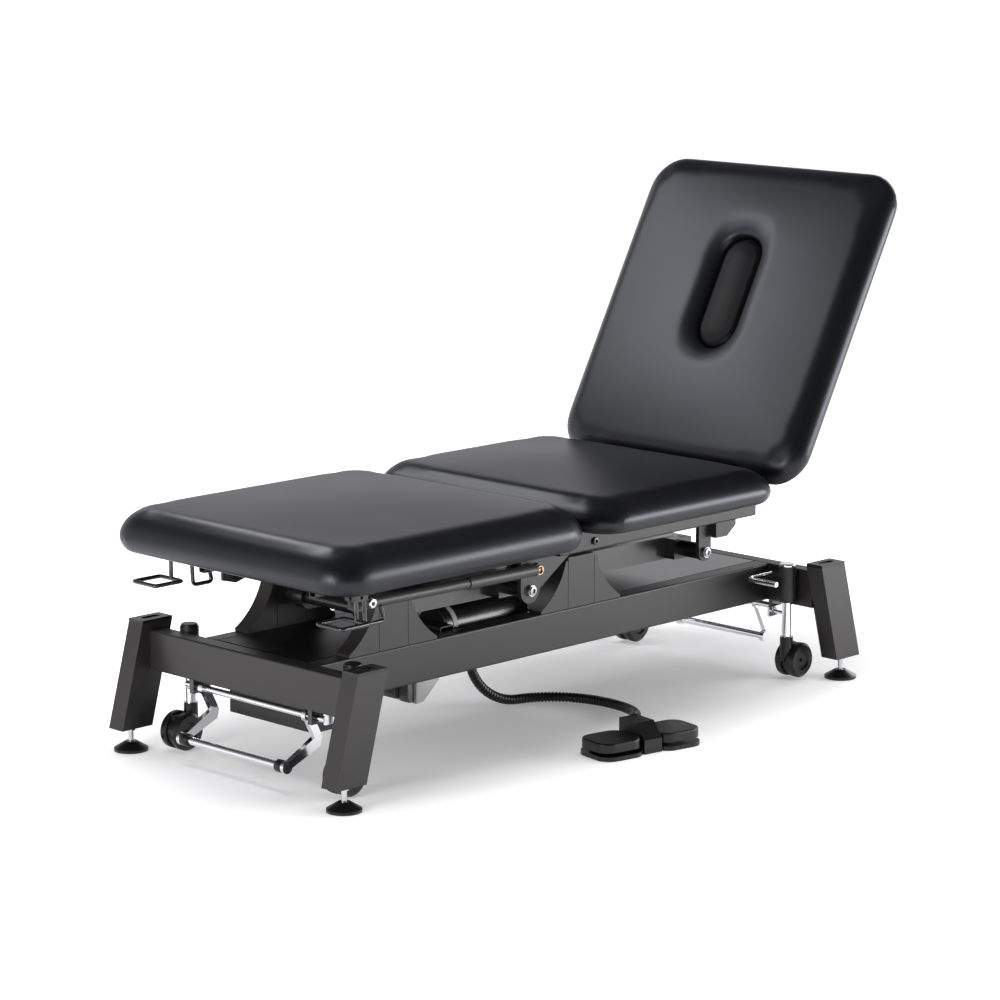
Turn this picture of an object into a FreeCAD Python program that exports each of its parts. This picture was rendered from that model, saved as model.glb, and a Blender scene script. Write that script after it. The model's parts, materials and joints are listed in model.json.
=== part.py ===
"""Treatment couch: three padded sections on a parallelogram lift, with drop-down castors.

Millimetres. +X points to the head end, +Y to the far side and +Z up. The origin lies on the
floor, midway between the four levelling feet. The couch stands at its lowest height, with the
leg section flat and the back section raised.
"""
import FreeCAD, Part
import math
import os
import re

import Sketcher
from FreeCAD import Placement, Rotation, Vector

SIZES = {
    # base frame
    "base_length": 1614, "base_width": 700, "leg_depth": 80, "leg_thick": 45, "leg_sole_height": 50,
    "leg_top_height": 270, "leg_lean": 59, "leg_wall": 3, "crossbar_setback": 79, "crossbar_depth": 40,
    "rail_top_height": 254, "rail_height": 85, "rail_width": 40, "rail_spread": 350, "tube_wall": 2.5,
    "tube_corner": 4, "cap_thick": 6, "cap_slot_length": 46, "cap_slot_width": 16, "cap_slot_depth": 3,
    "panel_thick": 2, "panel_seam": 2, "foot_panel_past": 169, "head_panel_past": 114,
    # lift posts
    "foot_post_place": 485, "post_spacing": 555, "post_width": 80, "post_top_height": 365, "post_wall": 4,
    "gusset_reach": 82, "gusset_height": 104, "gusset_tip": 6, "gusset_seam": 1.2, "gusset_inset": 24,
    "gusset_sag": 12,
    # levelling feet
    "pad_dia": 72, "pad_height": 20, "pad_rim": 6, "pad_neck_dia": 26, "stud_dia": 12, "stud_nut_dia": 20,
    "stud_nut_height": 7, "stud_length": 62,
    # castors
    "castor_inset": 55, "sleeve_dia": 40, "sleeve_low_height": 180, "sleeve_top_height": 262,
    "sleeve_cap_dia": 36, "sleeve_cap_height": 6, "plunger_dia": 22, "plunger_low_height": 100,
    "plunger_top_height": 248, "plunger_pin_dia": 8, "plunger_pin_length": 44, "wheel_dia": 80,
    "wheel_width": 20,
    "wheel_lift": 3, "wheel_gap": 14, "wheel_trail": 26, "wheel_shoulder": 6, "hub_dia": 44,
    "hub_dish": 4, "axle_dia": 8, "yoke_neck_dia": 30, "swivel_pin_dia": 10, "swivel_pin_length": 24,
    "yoke_web": 12, "yoke_width": 46, "lever_dia": 12, "lever_row": 198, "lever_height": 235, "lever_out": 96,
    "lever_turn": 84, "lever_bend": 14,
    # castor pedals
    "pedal_height": 152, "pedal_shaft_dia": 14, "pedal_arm_thick": 12,
    "pedal_arm_width": 20, "pedal_hub_dia": 26, "foot_bar_side": 158, "head_bar_side": 128,
    "pedal_bar_dia": 16, "foot_bar_out": -60, "foot_bar_drop": 96, "head_bar_out": 27,
    "head_bar_drop": 84, "pedal_knee_in": 24, "pedal_knee_drop": 48, "pedal_clamp_dia": 26,
    "crank_thick": 6, "crank_height": 22, "crank_slot_length": 16, "crank_slot_height": 10,
    "hanger_block_width": 30, "hanger_block_inset": 31,
    # lift arms
    "lower_pivot_height": 322, "arm_reach": 372, "arm_drop": 2, "lift_shaft_dia": 30,
    "arm_height": 50, "arm_thick": 30, "arm_side": 92, "tie_box_width": 56, "tie_box_height": 46,
    "tie_box_length": 270, "tie_neck_dia": 36, "tie_pin_dia": 16, "tie_pin_length": 30,
    "bush_wall": 5, "lift_lag_angle": 35, "lever_thick": 12, "lever_width": 36, "lever_tip": 9,
    "lever_slot_width": 18, "lever_slot_play": 6,
    # lift motor
    "motor_dia": 88, "barrel_rise": 5, "motor_length": 246, "motor_offset": 70, "motor_setback": 6,
    "motor_ring_length": 12, "motor_ring_proud": 1.5, "motor_ring_inset": 20,
    "ram_tube_dia": 46, "ram_tube_length": 180, "ram_show": 37, "ram_dia": 20, "ram_eye_dia": 34,
    "ram_eye_width": 22,
    "ram_pin_dia": 12, "motor_height": 243, "gearcase_length": 100, "cradle_depth": 40, "cradle_height": 40,
    # seat section
    "cushion_top_height": 522, "couch_width": 700, "seat_start": -56, "seat_end": 518, "seat_thick": 78,
    "seat_bar_width": 25, "seat_bar_height": 58, "seat_bar_spread": 450, "seat_bar_start": -48,
    "seat_bar_end": 584, "seat_hub_dia": 32, "hub_proud": 1.5, "seat_tie_depth": 40, "seat_tie_height": 18,
    "seat_tie_first": 130, "seat_tie_last": 470, "hanger_thick": 10, "foot_hanger_width": 56,
    "head_hanger_width": 40, "hanger_plate_length": 100, "bolt_head_dia": 24, "bolt_head_height": 7,
    "lug_length": 66, "lug_width": 15, "lug_height": 34, "lug_nose": 12, "lug_slope": 17, "lug_place": 456,
    # leg section
    "leg_start": -785, "leg_end": -88, "leg_cushion_thick": 95, "leg_hinge_place": 58,
    "leg_hinge_height": 405, "leg_hinge_dia": 12, "leg_arm_thick": 8, "leg_arm_gap": 14,
    "leg_arm_width": 34, "leg_arm_dip": 40, "leg_bar_height": 35, "leg_bar_width": 20,
    "leg_bar_start": -700, "leg_bar_end": -104, "leg_tie_depth": 30, "leg_tie_height": 25,
    # leg gas springs
    "gas_eye_place": -110, "gas_eye_height": 367, "gas_far_place": -590, "gas_far_height": 372,
    "gas_side": 216, "gas_guard_dia": 26, "gas_boss_dia": 28, "gas_guard_length": 205,
    "gas_body_dia": 22, "gas_body_inset": 73, "gas_slide_fit": 0.1, "gas_eye_dia": 22, "gas_eye_width": 14,
    "gas_pin_dia": 10, "gas_hole_dia": 23, "gas_flange_dia": 32, "gas_flange_thick": 4,
    "gas_bracket_length": 72, "gas_bracket_drop": 76, "gas_bracket_thick": 6, "gas_bracket_side": 190,
    # release handles
    "handle_place": -724, "handle_side": 282, "handle_height": 360, "handle_length": 74,
    "handle_width": 74, "handle_wire": 7, "handle_bend": 10, "handle_pivot_height": 410,
    "handle_block_length": 34, "handle_block_width": 30,
    # back section, measured from its hinge with the back flat
    "back_hinge_place": 584, "back_hinge_rise": 2, "back_angle": 61.3, "back_gap": 6,
    "back_length": 748, "back_thick": 70, "back_bar_height": 30, "back_bar_width": 25,
    "back_bar_length": 600, "back_bar_side": 188, "back_hub_dia": 36, "back_shaft_dia": 16,
    "back_tie_depth": 25, "back_tie_low": 90, "back_lag_angle": 35, "back_lever_width": 30,
    "back_slot_width": 14.6, "back_slot_play": 4, "back_lever_tip": 8, "face_hole_place": 434,
    "face_hole_length": 276, "face_hole_width": 116, "face_rim": 16, "plug_sink": 16,
    "plug_depth": 44, "plug_round": 10,
    # back gas spring
    "strut_height": 403, "strut_tube_dia": 32, "strut_start": 110, "strut_tube_length": 380,
    "strut_rod_inset": 158,
    "strut_rod_dia": 14, "strut_eye_dia": 26, "strut_eye_width": 18, "strut_pin_dia": 10,
    "strut_clevis": 30,
    # cushions
    "cushion_corner": 42, "back_corner": 60, "cushion_draw": 16, "cushion_roll": 34, "cushion_crown": 7,
    # control boxes
    "box_setback": 23, "box_length": 160, "box_width": 256, "box_height": 66, "flange_thick": 3,
    "flange_width": 320, "unit_inset": 10, "unit_length": 108, "unit_width": 150, "unit_height": 42,
    "unit_step": 34, "unit_step_height": 16, "tray_gap": 55, "tray_length": 435,
    # foot switch and hose
    "switch_x": -12, "switch_y": -424, "switch_turn_angle": -10, "switch_plate": 9, "switch_width": 108,
    "switch_pad_length": 108, "switch_pad_width": 98, "switch_pad_height": 20, "switch_round": 30,
    "switch_waist": 80, "bridge_length": 46, "bridge_height": 62, "bridge_width": 88, "bridge_shelf": 15,
    "bridge_sill": 30, "switch_spine": 8, "switch_edge": 4, "hose_dia": 22, "hose_bore": 15,
    "hose_groove": 1.8, "gland_dia": 34, "gland_height": 18,
    # fits
    "running_fit": 0.05, "part_gap": 0.4, "plug_gap": 0.5, "overrun": 4,
}
RIB_COUNT = 64
CUSHION_SHARES = (
    # height below the crown, part of the draw at the bottom, part of the roll at the top edge
    (0, 1, 0), (0.08, 0.55, 0), (0.2, 0.2, 0), (0.34, 0.03, 0), (0.5, 0, 0), (0.64, 0, 0.04),
    (0.76, 0, 0.15), (0.86, 0, 0.33), (0.94, 0, 0.6), (1, 0, 1),
)
BEND_SHARE = 0.45
RIB_SHARES = (0, 0.5, 0.6, 0.9)
HANDLE_SHARES = ((1, 0.5), (1, 1), (-1, 1), (-1, -1), (1, -1))
CROWN_SHARES = (
    # rise of the crown, inset as a share of the shorter side
    (0.45, 0.1), (0.8, 0.19), (1, 0.3),
)
HOSE_ROUTE = (
    (-44, 54, 154.5), (-44, 54, 114.8), (-32.4, 50.9, 77.7), (-10.2, 45, 46.1), (20.2, 36.8, 23.2),
    (56.1, 27.2, 11.2), (98.6, 15.8, 11.2), (138.8, -10.3, 11.2), (169, -47.6, 11.2), (188.4, -98, 11.2),
    (194.3, -153.7, 11.2), (183.6, -208.7, 12), (155.6, -257.2, 16), (115.3, -296.1, 24), (68.9, -327.4, 35),
    (8, -388, 49),
)
ENDS = (("foot", -1), ("head", 1))
SIDES = (("near", -1), ("far", 1))

PLACES = {
    "crossbar_outer": "base_length / 2 - crossbar_setback",
    "crossbar_middle": "crossbar_outer - crossbar_depth / 2",
    "crossbar_inner": "crossbar_outer - crossbar_depth",
    "leg_inner": "base_width / 2 - leg_thick",
    "leg_row": "base_width / 2 - leg_thick / 2",
    "leg_foot_centre": "base_length / 2 - leg_depth / 2",
    "leg_cap_centre": "leg_foot_centre - leg_lean",
    "rail_bottom": "rail_top_height - rail_height",
    "rail_middle": "rail_top_height - rail_height / 2",
    "rail_row": "rail_spread / 2 - rail_width / 2",
    "rail_inner": "rail_spread / 2 - rail_width",
    "head_post_place": "post_spacing - foot_post_place",
    "castor_place": "crossbar_inner - sleeve_dia / 2",
    "castor_row": "leg_inner - castor_inset",
    "sleeve_length": "sleeve_top_height - sleeve_low_height",
    "plunger_length": "plunger_top_height - plunger_low_height",
    "pedal_reach": "castor_row - plunger_pin_length + crank_thick",
    "hanger_block_row": "pedal_reach - hanger_block_inset",
    "foot_panel_end": "foot_post_place - foot_panel_past",
    "head_panel_start": "head_post_place + head_panel_past",
    "box_front": "crossbar_inner - box_setback",
    "tray_start": "box_length - box_front + tray_gap",
    "unit_start": "tray_start + unit_inset",
    "axle_height": "wheel_dia / 2 + wheel_lift",
    "upper_pivot_height": "lower_pivot_height - arm_drop",
    "hanger_outer": "seat_bar_spread / 2 - seat_bar_width",
    "hanger_inner": "hanger_outer - hanger_thick",
    "tie_half": "hanger_inner - part_gap",
    "seat_bottom": "cushion_top_height - seat_thick",
    "seat_bar_bottom": "seat_bottom - seat_bar_height",
    "back_hinge_height": "seat_bottom + back_hinge_rise",
    "seat_bar_row": "seat_bar_spread / 2 - seat_bar_width / 2",
    "leg_bottom_face": "cushion_top_height - leg_cushion_thick",
    "leg_bar_bottom": "leg_bottom_face - leg_bar_height",
    "leg_arm_outer": "hanger_outer - leg_arm_gap",
    "leg_arm_inner": "leg_arm_outer - leg_arm_thick",
    "leg_bar_row": "leg_arm_inner - leg_bar_width / 2",
    "back_floor": "cushion_top_height - back_thick - back_hinge_height",
    "back_bar_row": "back_bar_side - back_bar_width / 2",
    "tray_bottom": "rail_bottom - flange_thick",
    "gusset_run": "gusset_reach - gusset_tip",
    "gusset_fall": "gusset_height - gusset_tip",
    "gusset_chord": "sqrt(gusset_run ^ 2 + gusset_fall ^ 2)",
    "gusset_round": "gusset_chord ^ 2 / (8 * gusset_sag) + gusset_sag / 2",
    "lift_lever_drop": "lower_pivot_height - motor_height",
    "lift_lever_reach": "lift_lever_drop / cos(lift_lag_angle)",
    "ram_eye_place": "head_post_place - lift_lever_drop * tan(lift_lag_angle)",
    "ram_tube_end": "ram_eye_place - ram_show",
    "motor_end": "ram_tube_end - motor_setback",
    "back_lever_drop": "back_hinge_height - strut_height",
    "back_lever_reach": "back_lever_drop / cos(back_lag_angle)",
}

doc = FreeCAD.newDocument("treatment_couch")
sizes = doc.addObject("Spreadsheet::Sheet", "Sizes")
places = doc.addObject("Spreadsheet::Sheet", "Places")


def formula(text):
    """Write the bare size names of a formula as references to the two sheets."""
    def reference(match):
        word = match.group(0)
        if word in SIZES:
            return "Sizes." + word
        return "Places." + word if word in PLACES else word
    return re.sub(r"[a-z][a-z0-9_]*", reference, text)


def fill_sheets():
    for row, (name, number) in enumerate(SIZES.items(), start=1):
        sizes.set(f"A{row}", name)
        sizes.set(f"B{row}", str(number))
        sizes.setAlias(f"B{row}", name)
    doc.recompute()
    for row, (name, text) in enumerate(PLACES.items(), start=1):
        places.set(f"A{row}", name)
        places.set(f"B{row}", "=" + formula(text))
        places.setAlias(f"B{row}", name)
        doc.recompute()


def size(name):
    """One named size or place as a plain number."""
    sheet = sizes if name in SIZES else places
    return float(sheet.get(name))


def bind(item, **formulas):
    for name, text in formulas.items():
        item.setExpression(name, formula(str(text)))


def put(item, x, y, z):
    """Bind where an object stands."""
    for axis, text in zip("xyz", (x, y, z)):
        item.setExpression("Placement.Base." + axis, formula(str(text)))
    return item


def box(name, length, width, height, x, y, z):
    """A block with its lowest corner at x, y, z."""
    item = doc.addObject("Part::Box", name)
    bind(item, Length=length, Width=width, Height=height)
    return put(item, x, y, z)


AXIS_TURNS = {
    "x": Rotation(Vector(0, 1, 0), 90),
    "y": Rotation(Vector(1, 0, 0), -90),
    "z": Rotation(),
}


def cylinder(name, dia, length, x, y, z, axis="z"):
    """A round bar that starts at x, y, z and runs along one axis."""
    item = doc.addObject("Part::Cylinder", name)
    item.Placement = Placement(Vector(), AXIS_TURNS[axis])
    bind(item, Radius=f"({dia}) / 2", Height=length)
    return put(item, x, y, z)


def cone(name, low_dia, high_dia, height, x, y, z):
    item = doc.addObject("Part::Cone", name)
    bind(item, Radius1=f"({low_dia}) / 2", Radius2=f"({high_dia}) / 2", Height=height)
    return put(item, x, y, z)


def join(name, *items):
    item = doc.addObject("Part::MultiFuse", name)
    item.Shapes = list(items)
    return item


def cut(name, base, *tools):
    item = doc.addObject("Part::Cut", name)
    item.Base = base
    item.Tool = tools[0] if len(tools) == 1 else join(name + "_tools", *tools)
    return item


def group(name, *items):
    """Separate pieces of one kind, kept under one name."""
    item = doc.addObject("Part::Compound", name)
    item.Links = list(items)
    return item


def turned(item, y_angle="0", z_angle="0"):
    """Turn an object about the origin of its own placement, about Y or about Z."""
    if y_angle != "0":
        item.Placement = Placement(item.Placement.Base, Rotation(Vector(0, -1, 0), 1))
        item.setExpression("Placement.Rotation.Angle", formula(y_angle))
    if z_angle != "0":
        item.Placement = Placement(item.Placement.Base, Rotation(Vector(0, 0, 1), 1))
        item.setExpression("Placement.Rotation.Angle", formula(z_angle))
    return item


def rounded(name, base, radius, wanted):
    """Round the edges that a test picks from a finished shape."""
    doc.recompute()
    item = doc.addObject("Part::Fillet", name)
    item.Base = base
    edges = enumerate(base.Shape.Edges, start=1)
    item.Edges = [(number, radius, radius) for number, edge in edges if wanted(edge)]
    return item


def runs_along(axis):
    """A test for straight edges that lie along one axis."""
    def wanted(edge):
        straight = edge.Curve.TypeId == "Part::GeomLine"
        return straight and abs(abs(getattr(edge.tangentAt(edge.FirstParameter), axis)) - 1) < 1e-6
    return wanted


def is_round(edge):
    return edge.Curve.TypeId == "Part::GeomCircle"


def new_body(name):
    return doc.addObject("PartDesign::Body", name)


def new_sketch(body, name, plane):
    sketch = body.newObject("Sketcher::SketchObject", name)
    support = [item for item in body.Origin.OriginFeatures if item.Role == plane]
    sketch.AttachmentSupport = [(support[0], "")]
    sketch.MapMode = "FlatFace"
    return sketch


def fix_point(sketch, line, end, across, up):
    """Hold one end of a sketch line at a named place."""
    for kind, text in (("DistanceX", across), ("DistanceY", up)):
        index = sketch.addConstraint(Sketcher.Constraint(kind, -1, 1, line, end, 1.0))
        sketch.setExpression(f"Constraints[{index}]", formula(str(text)))


def polygon(sketch, corners):
    """Draw a closed outline whose corners are formulas."""
    count = len(corners)
    first = sketch.GeometryCount
    ring = [Vector(math.cos(math.tau * i / count), math.sin(math.tau * i / count)) for i in range(count)]
    for i in range(count):
        sketch.addGeometry(Part.LineSegment(ring[i], ring[(i + 1) % count]))
    for i in range(count):
        sketch.addConstraint(Sketcher.Constraint("Coincident", first + i, 2, first + (i + 1) % count, 1))
    for i, (across, up) in enumerate(corners):
        fix_point(sketch, first + i, 1, across, up)
    return sketch


def circle(sketch, dia, across, up):
    first = sketch.GeometryCount
    sketch.addGeometry(Part.Circle(Vector(0, 0, 0), Vector(0, 0, 1), 1))
    index = sketch.addConstraint(Sketcher.Constraint("Diameter", first, 1.0))
    sketch.setExpression(f"Constraints[{index}]", formula(dia))
    fix_point(sketch, first, 3, across, up)
    return sketch


def pad(body, sketch, length):
    item = body.newObject("PartDesign::Pad", sketch.Name + "_pad")
    item.Profile = sketch
    item.SideType = "Symmetric"
    bind(item, Length=length)
    return item


def pocket(body, sketch, length):
    item = body.newObject("PartDesign::Pocket", sketch.Name + "_pocket")
    item.Profile = sketch
    item.SideType = "Symmetric"
    bind(item, Length=length)
    return item


def revolve(body, sketch, axis):
    item = body.newObject("PartDesign::Revolution", sketch.Name + "_turned")
    item.Profile = sketch
    item.ReferenceAxis = (sketch, [axis])
    item.Angle = 360
    return item


def rectangle(across, up):
    """Corners of a rectangle round the sketch origin."""
    return [(f"{a} * ({across}) / 2", f"{b} * ({up}) / 2") for a, b in ((-1, -1), (1, -1), (1, 1), (-1, 1))]


def tube(name, along, across, up, wall, length, x, y, z):
    """A hollow rectangular tube along X or Y, centred on x, y, z, with rounded long edges."""
    body = new_body(name)
    sketch = new_sketch(body, name + "_section", "YZ_Plane" if along == "x" else "XZ_Plane")
    polygon(sketch, rectangle(across, up))
    polygon(sketch, rectangle(f"{across} - 2 * {wall}", f"{up} - 2 * {wall}"))
    base = pad(body, sketch, length)
    doc.recompute()
    reach = max(math.hypot(v.X, v.Y, v.Z) for v in base.Shape.Vertexes) * (1 - 1e-9)
    chosen = [
        f"Edge{number}" for number, edge in enumerate(base.Shape.Edges, start=1)
        if runs_along(along)(edge) and max(math.hypot(v.X, v.Y, v.Z) for v in edge.Vertexes) > reach
    ]
    fillet = body.newObject("PartDesign::Fillet", name + "_corners")
    fillet.Base = (base, chosen)
    bind(fillet, Radius="tube_corner")
    return put(body, x, y, z)


def plate(name, corners, thick, x, y, z, holes=()):
    """A flat plate in the X-Z plane, from an outline and round holes given as dia, x, z."""
    body = new_body(name)
    pad(body, polygon(new_sketch(body, name + "_outline", "XZ_Plane"), corners), thick)
    if holes:
        sketch = new_sketch(body, name + "_holes", "XZ_Plane")
        for dia, across, up in holes:
            circle(sketch, dia, across, up)
        pocket(body, sketch, f"({thick}) + overrun")
    return put(body, x, y, z)


def base_frame():
    """Two rails, two crossbars and four slanted legs with their caps."""
    nodes = []
    for side, sign in SIDES:
        nodes.append(tube(f"side_rail_{side}", "x", "rail_width", "rail_height", "tube_wall",
                          "2 * crossbar_inner", 0, f"{sign} * rail_row", "rail_middle"))
    for end, sign in ENDS:
        nodes.append(tube(f"{end}_crossbar", "y", "crossbar_depth", "rail_height", "tube_wall",
                          "2 * leg_inner", f"{sign} * crossbar_middle", 0, "rail_middle"))
    caps = []
    for end, sign in ENDS:
        nodes.append(group(f"{end}_legs", *[slanted_leg(end, sign, side, hand) for side, hand in SIDES]))
        caps += [leg_cap(end, sign, side, hand) for side, hand in SIDES]
    nodes.append(group("leg_caps", *caps))
    return nodes


def slanted_leg(end, sign, side, hand):
    """A box-section leg that leans in towards the middle, with a closed sole for its foot."""
    name = f"leg_{end}_{side}"
    body = new_body(name)
    outer = (
        (f"{sign} * base_length / 2", "leg_sole_height"),
        (f"{sign} * (base_length / 2 - leg_lean)", "leg_top_height"),
        (f"{sign} * (base_length / 2 - leg_lean - leg_depth)", "leg_top_height"),
        (f"{sign} * (base_length / 2 - leg_depth)", "leg_sole_height"),
    )
    lean = "leg_lean * leg_wall / (leg_top_height - leg_sole_height)"
    inner = (
        (f"{sign} * (base_length / 2 - leg_wall - {lean})", "leg_sole_height + leg_wall"),
        (f"{sign} * (base_length / 2 - leg_lean - leg_wall)", "leg_top_height"),
        (f"{sign} * (base_length / 2 - leg_lean - leg_depth + leg_wall)", "leg_top_height"),
        (f"{sign} * (base_length / 2 - leg_depth + leg_wall - {lean})", "leg_sole_height + leg_wall"),
    )
    pad(body, polygon(new_sketch(body, name + "_outer", "XZ_Plane"), outer), "leg_thick")
    pocket(body, polygon(new_sketch(body, name + "_inner", "XZ_Plane"), inner), "leg_thick - 2 * leg_wall")
    hole = circle(new_sketch(body, name + "_hole", "XY_Plane"), "stud_dia + 2 * running_fit",
                  f"{sign} * leg_foot_centre", 0)
    pocket(body, hole, "2 * (leg_sole_height + leg_wall) + overrun")
    return put(body, 0, f"{hand} * leg_row", 0)


def leg_cap(end, sign, side, hand):
    """A plastic cap with an oval recess, on the open top of a leg."""
    name = f"cap_{end}_{side}"
    x, y = f"{sign} * leg_cap_centre", f"{hand} * leg_row"
    block = box(name + "_block", "leg_depth", "leg_thick", "cap_thick",
                f"{x} - leg_depth / 2", f"{y} - leg_thick / 2", "leg_top_height")
    floor = "leg_top_height + cap_thick - cap_slot_depth"
    straight = "(cap_slot_length - cap_slot_width)"
    middle = box(name + "_slot", straight, "cap_slot_width", "cap_slot_depth + overrun",
                 f"{x} - {straight} / 2", f"{y} - cap_slot_width / 2", floor)
    rounds = [cylinder(f"{name}_round_{i}", "cap_slot_width", "cap_slot_depth + overrun",
                       f"{x} + {i} * {straight} / 2", y, floor) for i in (-1, 1)]
    return cut(name, block, middle, *rounds)


def lift_posts():
    """Box columns on the rails, each propped by two gussets, and the bushes in them."""
    nodes = []
    for end, x in (("foot", "-foot_post_place"), ("head", "head_post_place")):
        pieces = []
        for side, hand in SIDES:
            pieces += post(f"{end}_{side}", x, hand)
            pieces.append(post_bush(f"{end}_{side}", x, hand))
        nodes.append(group(f"lift_posts_{end}", *pieces))
    return nodes


def post(name, x, hand):
    """One column with a bore for its bush, and a hollow gusset on each side of it."""
    bore = "lift_shaft_dia + 2 * bush_wall"
    row = f"{hand} * rail_row"
    shell = box(f"column_{name}_shell", "post_width", "rail_width", "post_top_height - rail_top_height",
                f"{x} - post_width / 2", f"{row} - rail_width / 2", "rail_top_height")
    inside = box(f"column_{name}_inside", "post_width - 2 * post_wall", "rail_width - 2 * post_wall",
                 "post_top_height - rail_top_height - post_wall", f"{x} - post_width / 2 + post_wall",
                 f"{row} - rail_width / 2 + post_wall", "rail_top_height")
    hole = cylinder(f"column_{name}_bore", bore, "rail_width", x,
                    f"{row} - rail_width / 2 - {hand} * post_wall", "lower_pivot_height", "y")
    pieces = [cut(f"column_{name}", shell, inside, hole)]
    for tag, way in (("low", -1), ("high", 1)):
        start = "post_width / 2 + gusset_seam"
        outer = ((f"{way} * ({start})", 0), (f"{way} * ({start} + gusset_reach)", 0),
                 (f"{way} * ({start} + gusset_reach)", "gusset_tip"),
                 (f"{way} * ({start} + gusset_tip)", "gusset_height"),
                 (f"{way} * ({start})", "gusset_height"))
        inner = ((f"{way} * ({start})", 0), (f"{way} * ({start} + gusset_reach - gusset_inset)", 0),
                 (f"{way} * ({start})", "gusset_height - gusset_inset"))
        body = new_body(f"gusset_{name}_{tag}")
        pad(body, polygon(new_sketch(body, f"gusset_{name}_{tag}_outer", "XZ_Plane"), outer), "rail_width")
        pocket(body, polygon(new_sketch(body, f"gusset_{name}_{tag}_inner", "XZ_Plane"), inner),
               "rail_width - 2 * post_wall")
        shift = "(gusset_round - gusset_sag) / gusset_chord"
        curve = new_sketch(body, f"gusset_{name}_{tag}_curve", "XZ_Plane")
        circle(curve, "2 * gusset_round",
               f"{way} * ({start} + (gusset_reach + gusset_tip) / 2 + gusset_fall * {shift})",
               f"(gusset_height + gusset_tip) / 2 + gusset_run * {shift}")
        pocket(body, curve, "rail_width + overrun")
        pieces.append(put(body, x, row, "rail_top_height"))
    return pieces


def post_bush(name, x, hand):
    """The bearing bush of one lift shaft end, let into the inner wall of its column."""
    length = "post_wall + bush_wall"
    y = "rail_inner" if hand > 0 else "-rail_inner - post_wall - bush_wall"
    outer = cylinder(f"bush_{name}_outer", "lift_shaft_dia + 2 * bush_wall", length, x, y,
                     "lower_pivot_height", "y")
    inner = cylinder(f"bush_{name}_inner", "lift_shaft_dia + 2 * running_fit", f"{length} + 2 * overrun", x,
                     f"{y} - overrun", "lower_pivot_height", "y")
    return cut(f"bush_{name}", outer, inner)


def covers_and_boxes():
    """Sheet covers between the rails, the control boxes below them and the tray that carries them."""
    width = "2 * rail_inner"
    panels = [
        box("foot_panel", "crossbar_inner - panel_seam - foot_panel_end", width, "panel_thick",
            "-crossbar_inner + panel_seam", "-rail_inner", "rail_top_height - panel_thick"),
        box("head_panel", "crossbar_inner - panel_seam - head_panel_start", width, "panel_thick",
            "head_panel_start", "-rail_inner",
            "rail_top_height - panel_thick"),
    ]
    nodes = [group("cover_panels", *panels)]
    flange = box("control_box_flange", "box_length", "flange_width", "flange_thick", "-box_front",
                 "-flange_width / 2", "tray_bottom")
    housing = box("control_box_housing", "box_length", "box_width", "box_height", "-box_front",
                  "-box_width / 2", "tray_bottom - box_height")
    nodes.append(join("control_box", flange, housing))
    tray = box("tray_sheet", "tray_length", "flange_width", "flange_thick", "tray_start",
               "-flange_width / 2", "tray_bottom")
    nodes.append(group("base_tray", tray, motor_cradle()))
    block = box("control_unit_block", "unit_length", "unit_width", "unit_height", "unit_start",
                "-unit_width", "tray_bottom - unit_height")
    step = box("control_unit_step", "unit_step", "unit_width + 2 * overrun", "unit_step_height",
               "unit_start + unit_length - unit_step", "-unit_width - overrun", "tray_bottom - unit_height")
    nodes.append(cut("control_unit", block, step))
    gland_x, gland_y, gland_z = HOSE_ROUTE[0]
    body = cylinder("gland_body", "gland_dia", f"tray_bottom - {gland_z}", gland_x, gland_y, gland_z)
    nodes.append(rounded("hose_gland", body, size("hose_groove"),
                         lambda edge: edge.BoundBox.ZMax < gland_z + size("hose_groove")))
    return nodes


def levelling_feet():
    """Four screw feet: a domed plastic pad on a stud with a lock nut, free to turn in the leg sole."""
    nodes = []
    for end, sign in ENDS:
        for side, hand in SIDES:
            name = f"levelling_foot_{end}_{side}"
            x, y = f"{sign} * leg_foot_centre", f"{hand} * leg_row"
            rim = cylinder(name + "_rim", "pad_dia", "pad_rim", x, y, 0)
            dome = cone(name + "_dome", "pad_dia", "pad_neck_dia", "pad_height - pad_rim", x, y, "pad_rim")
            stud = cylinder(name + "_stud", "stud_dia", "stud_length", x, y, "pad_rim")
            nut = doc.addObject("Part::Prism", name + "_nut")
            bind(nut, Circumradius="stud_nut_dia / 2", Height="stud_nut_height")
            put(nut, x, y, "leg_sole_height - part_gap - stud_nut_height")
            nodes.append(join(name, rim, dome, stud, nut))
    return nodes


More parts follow.
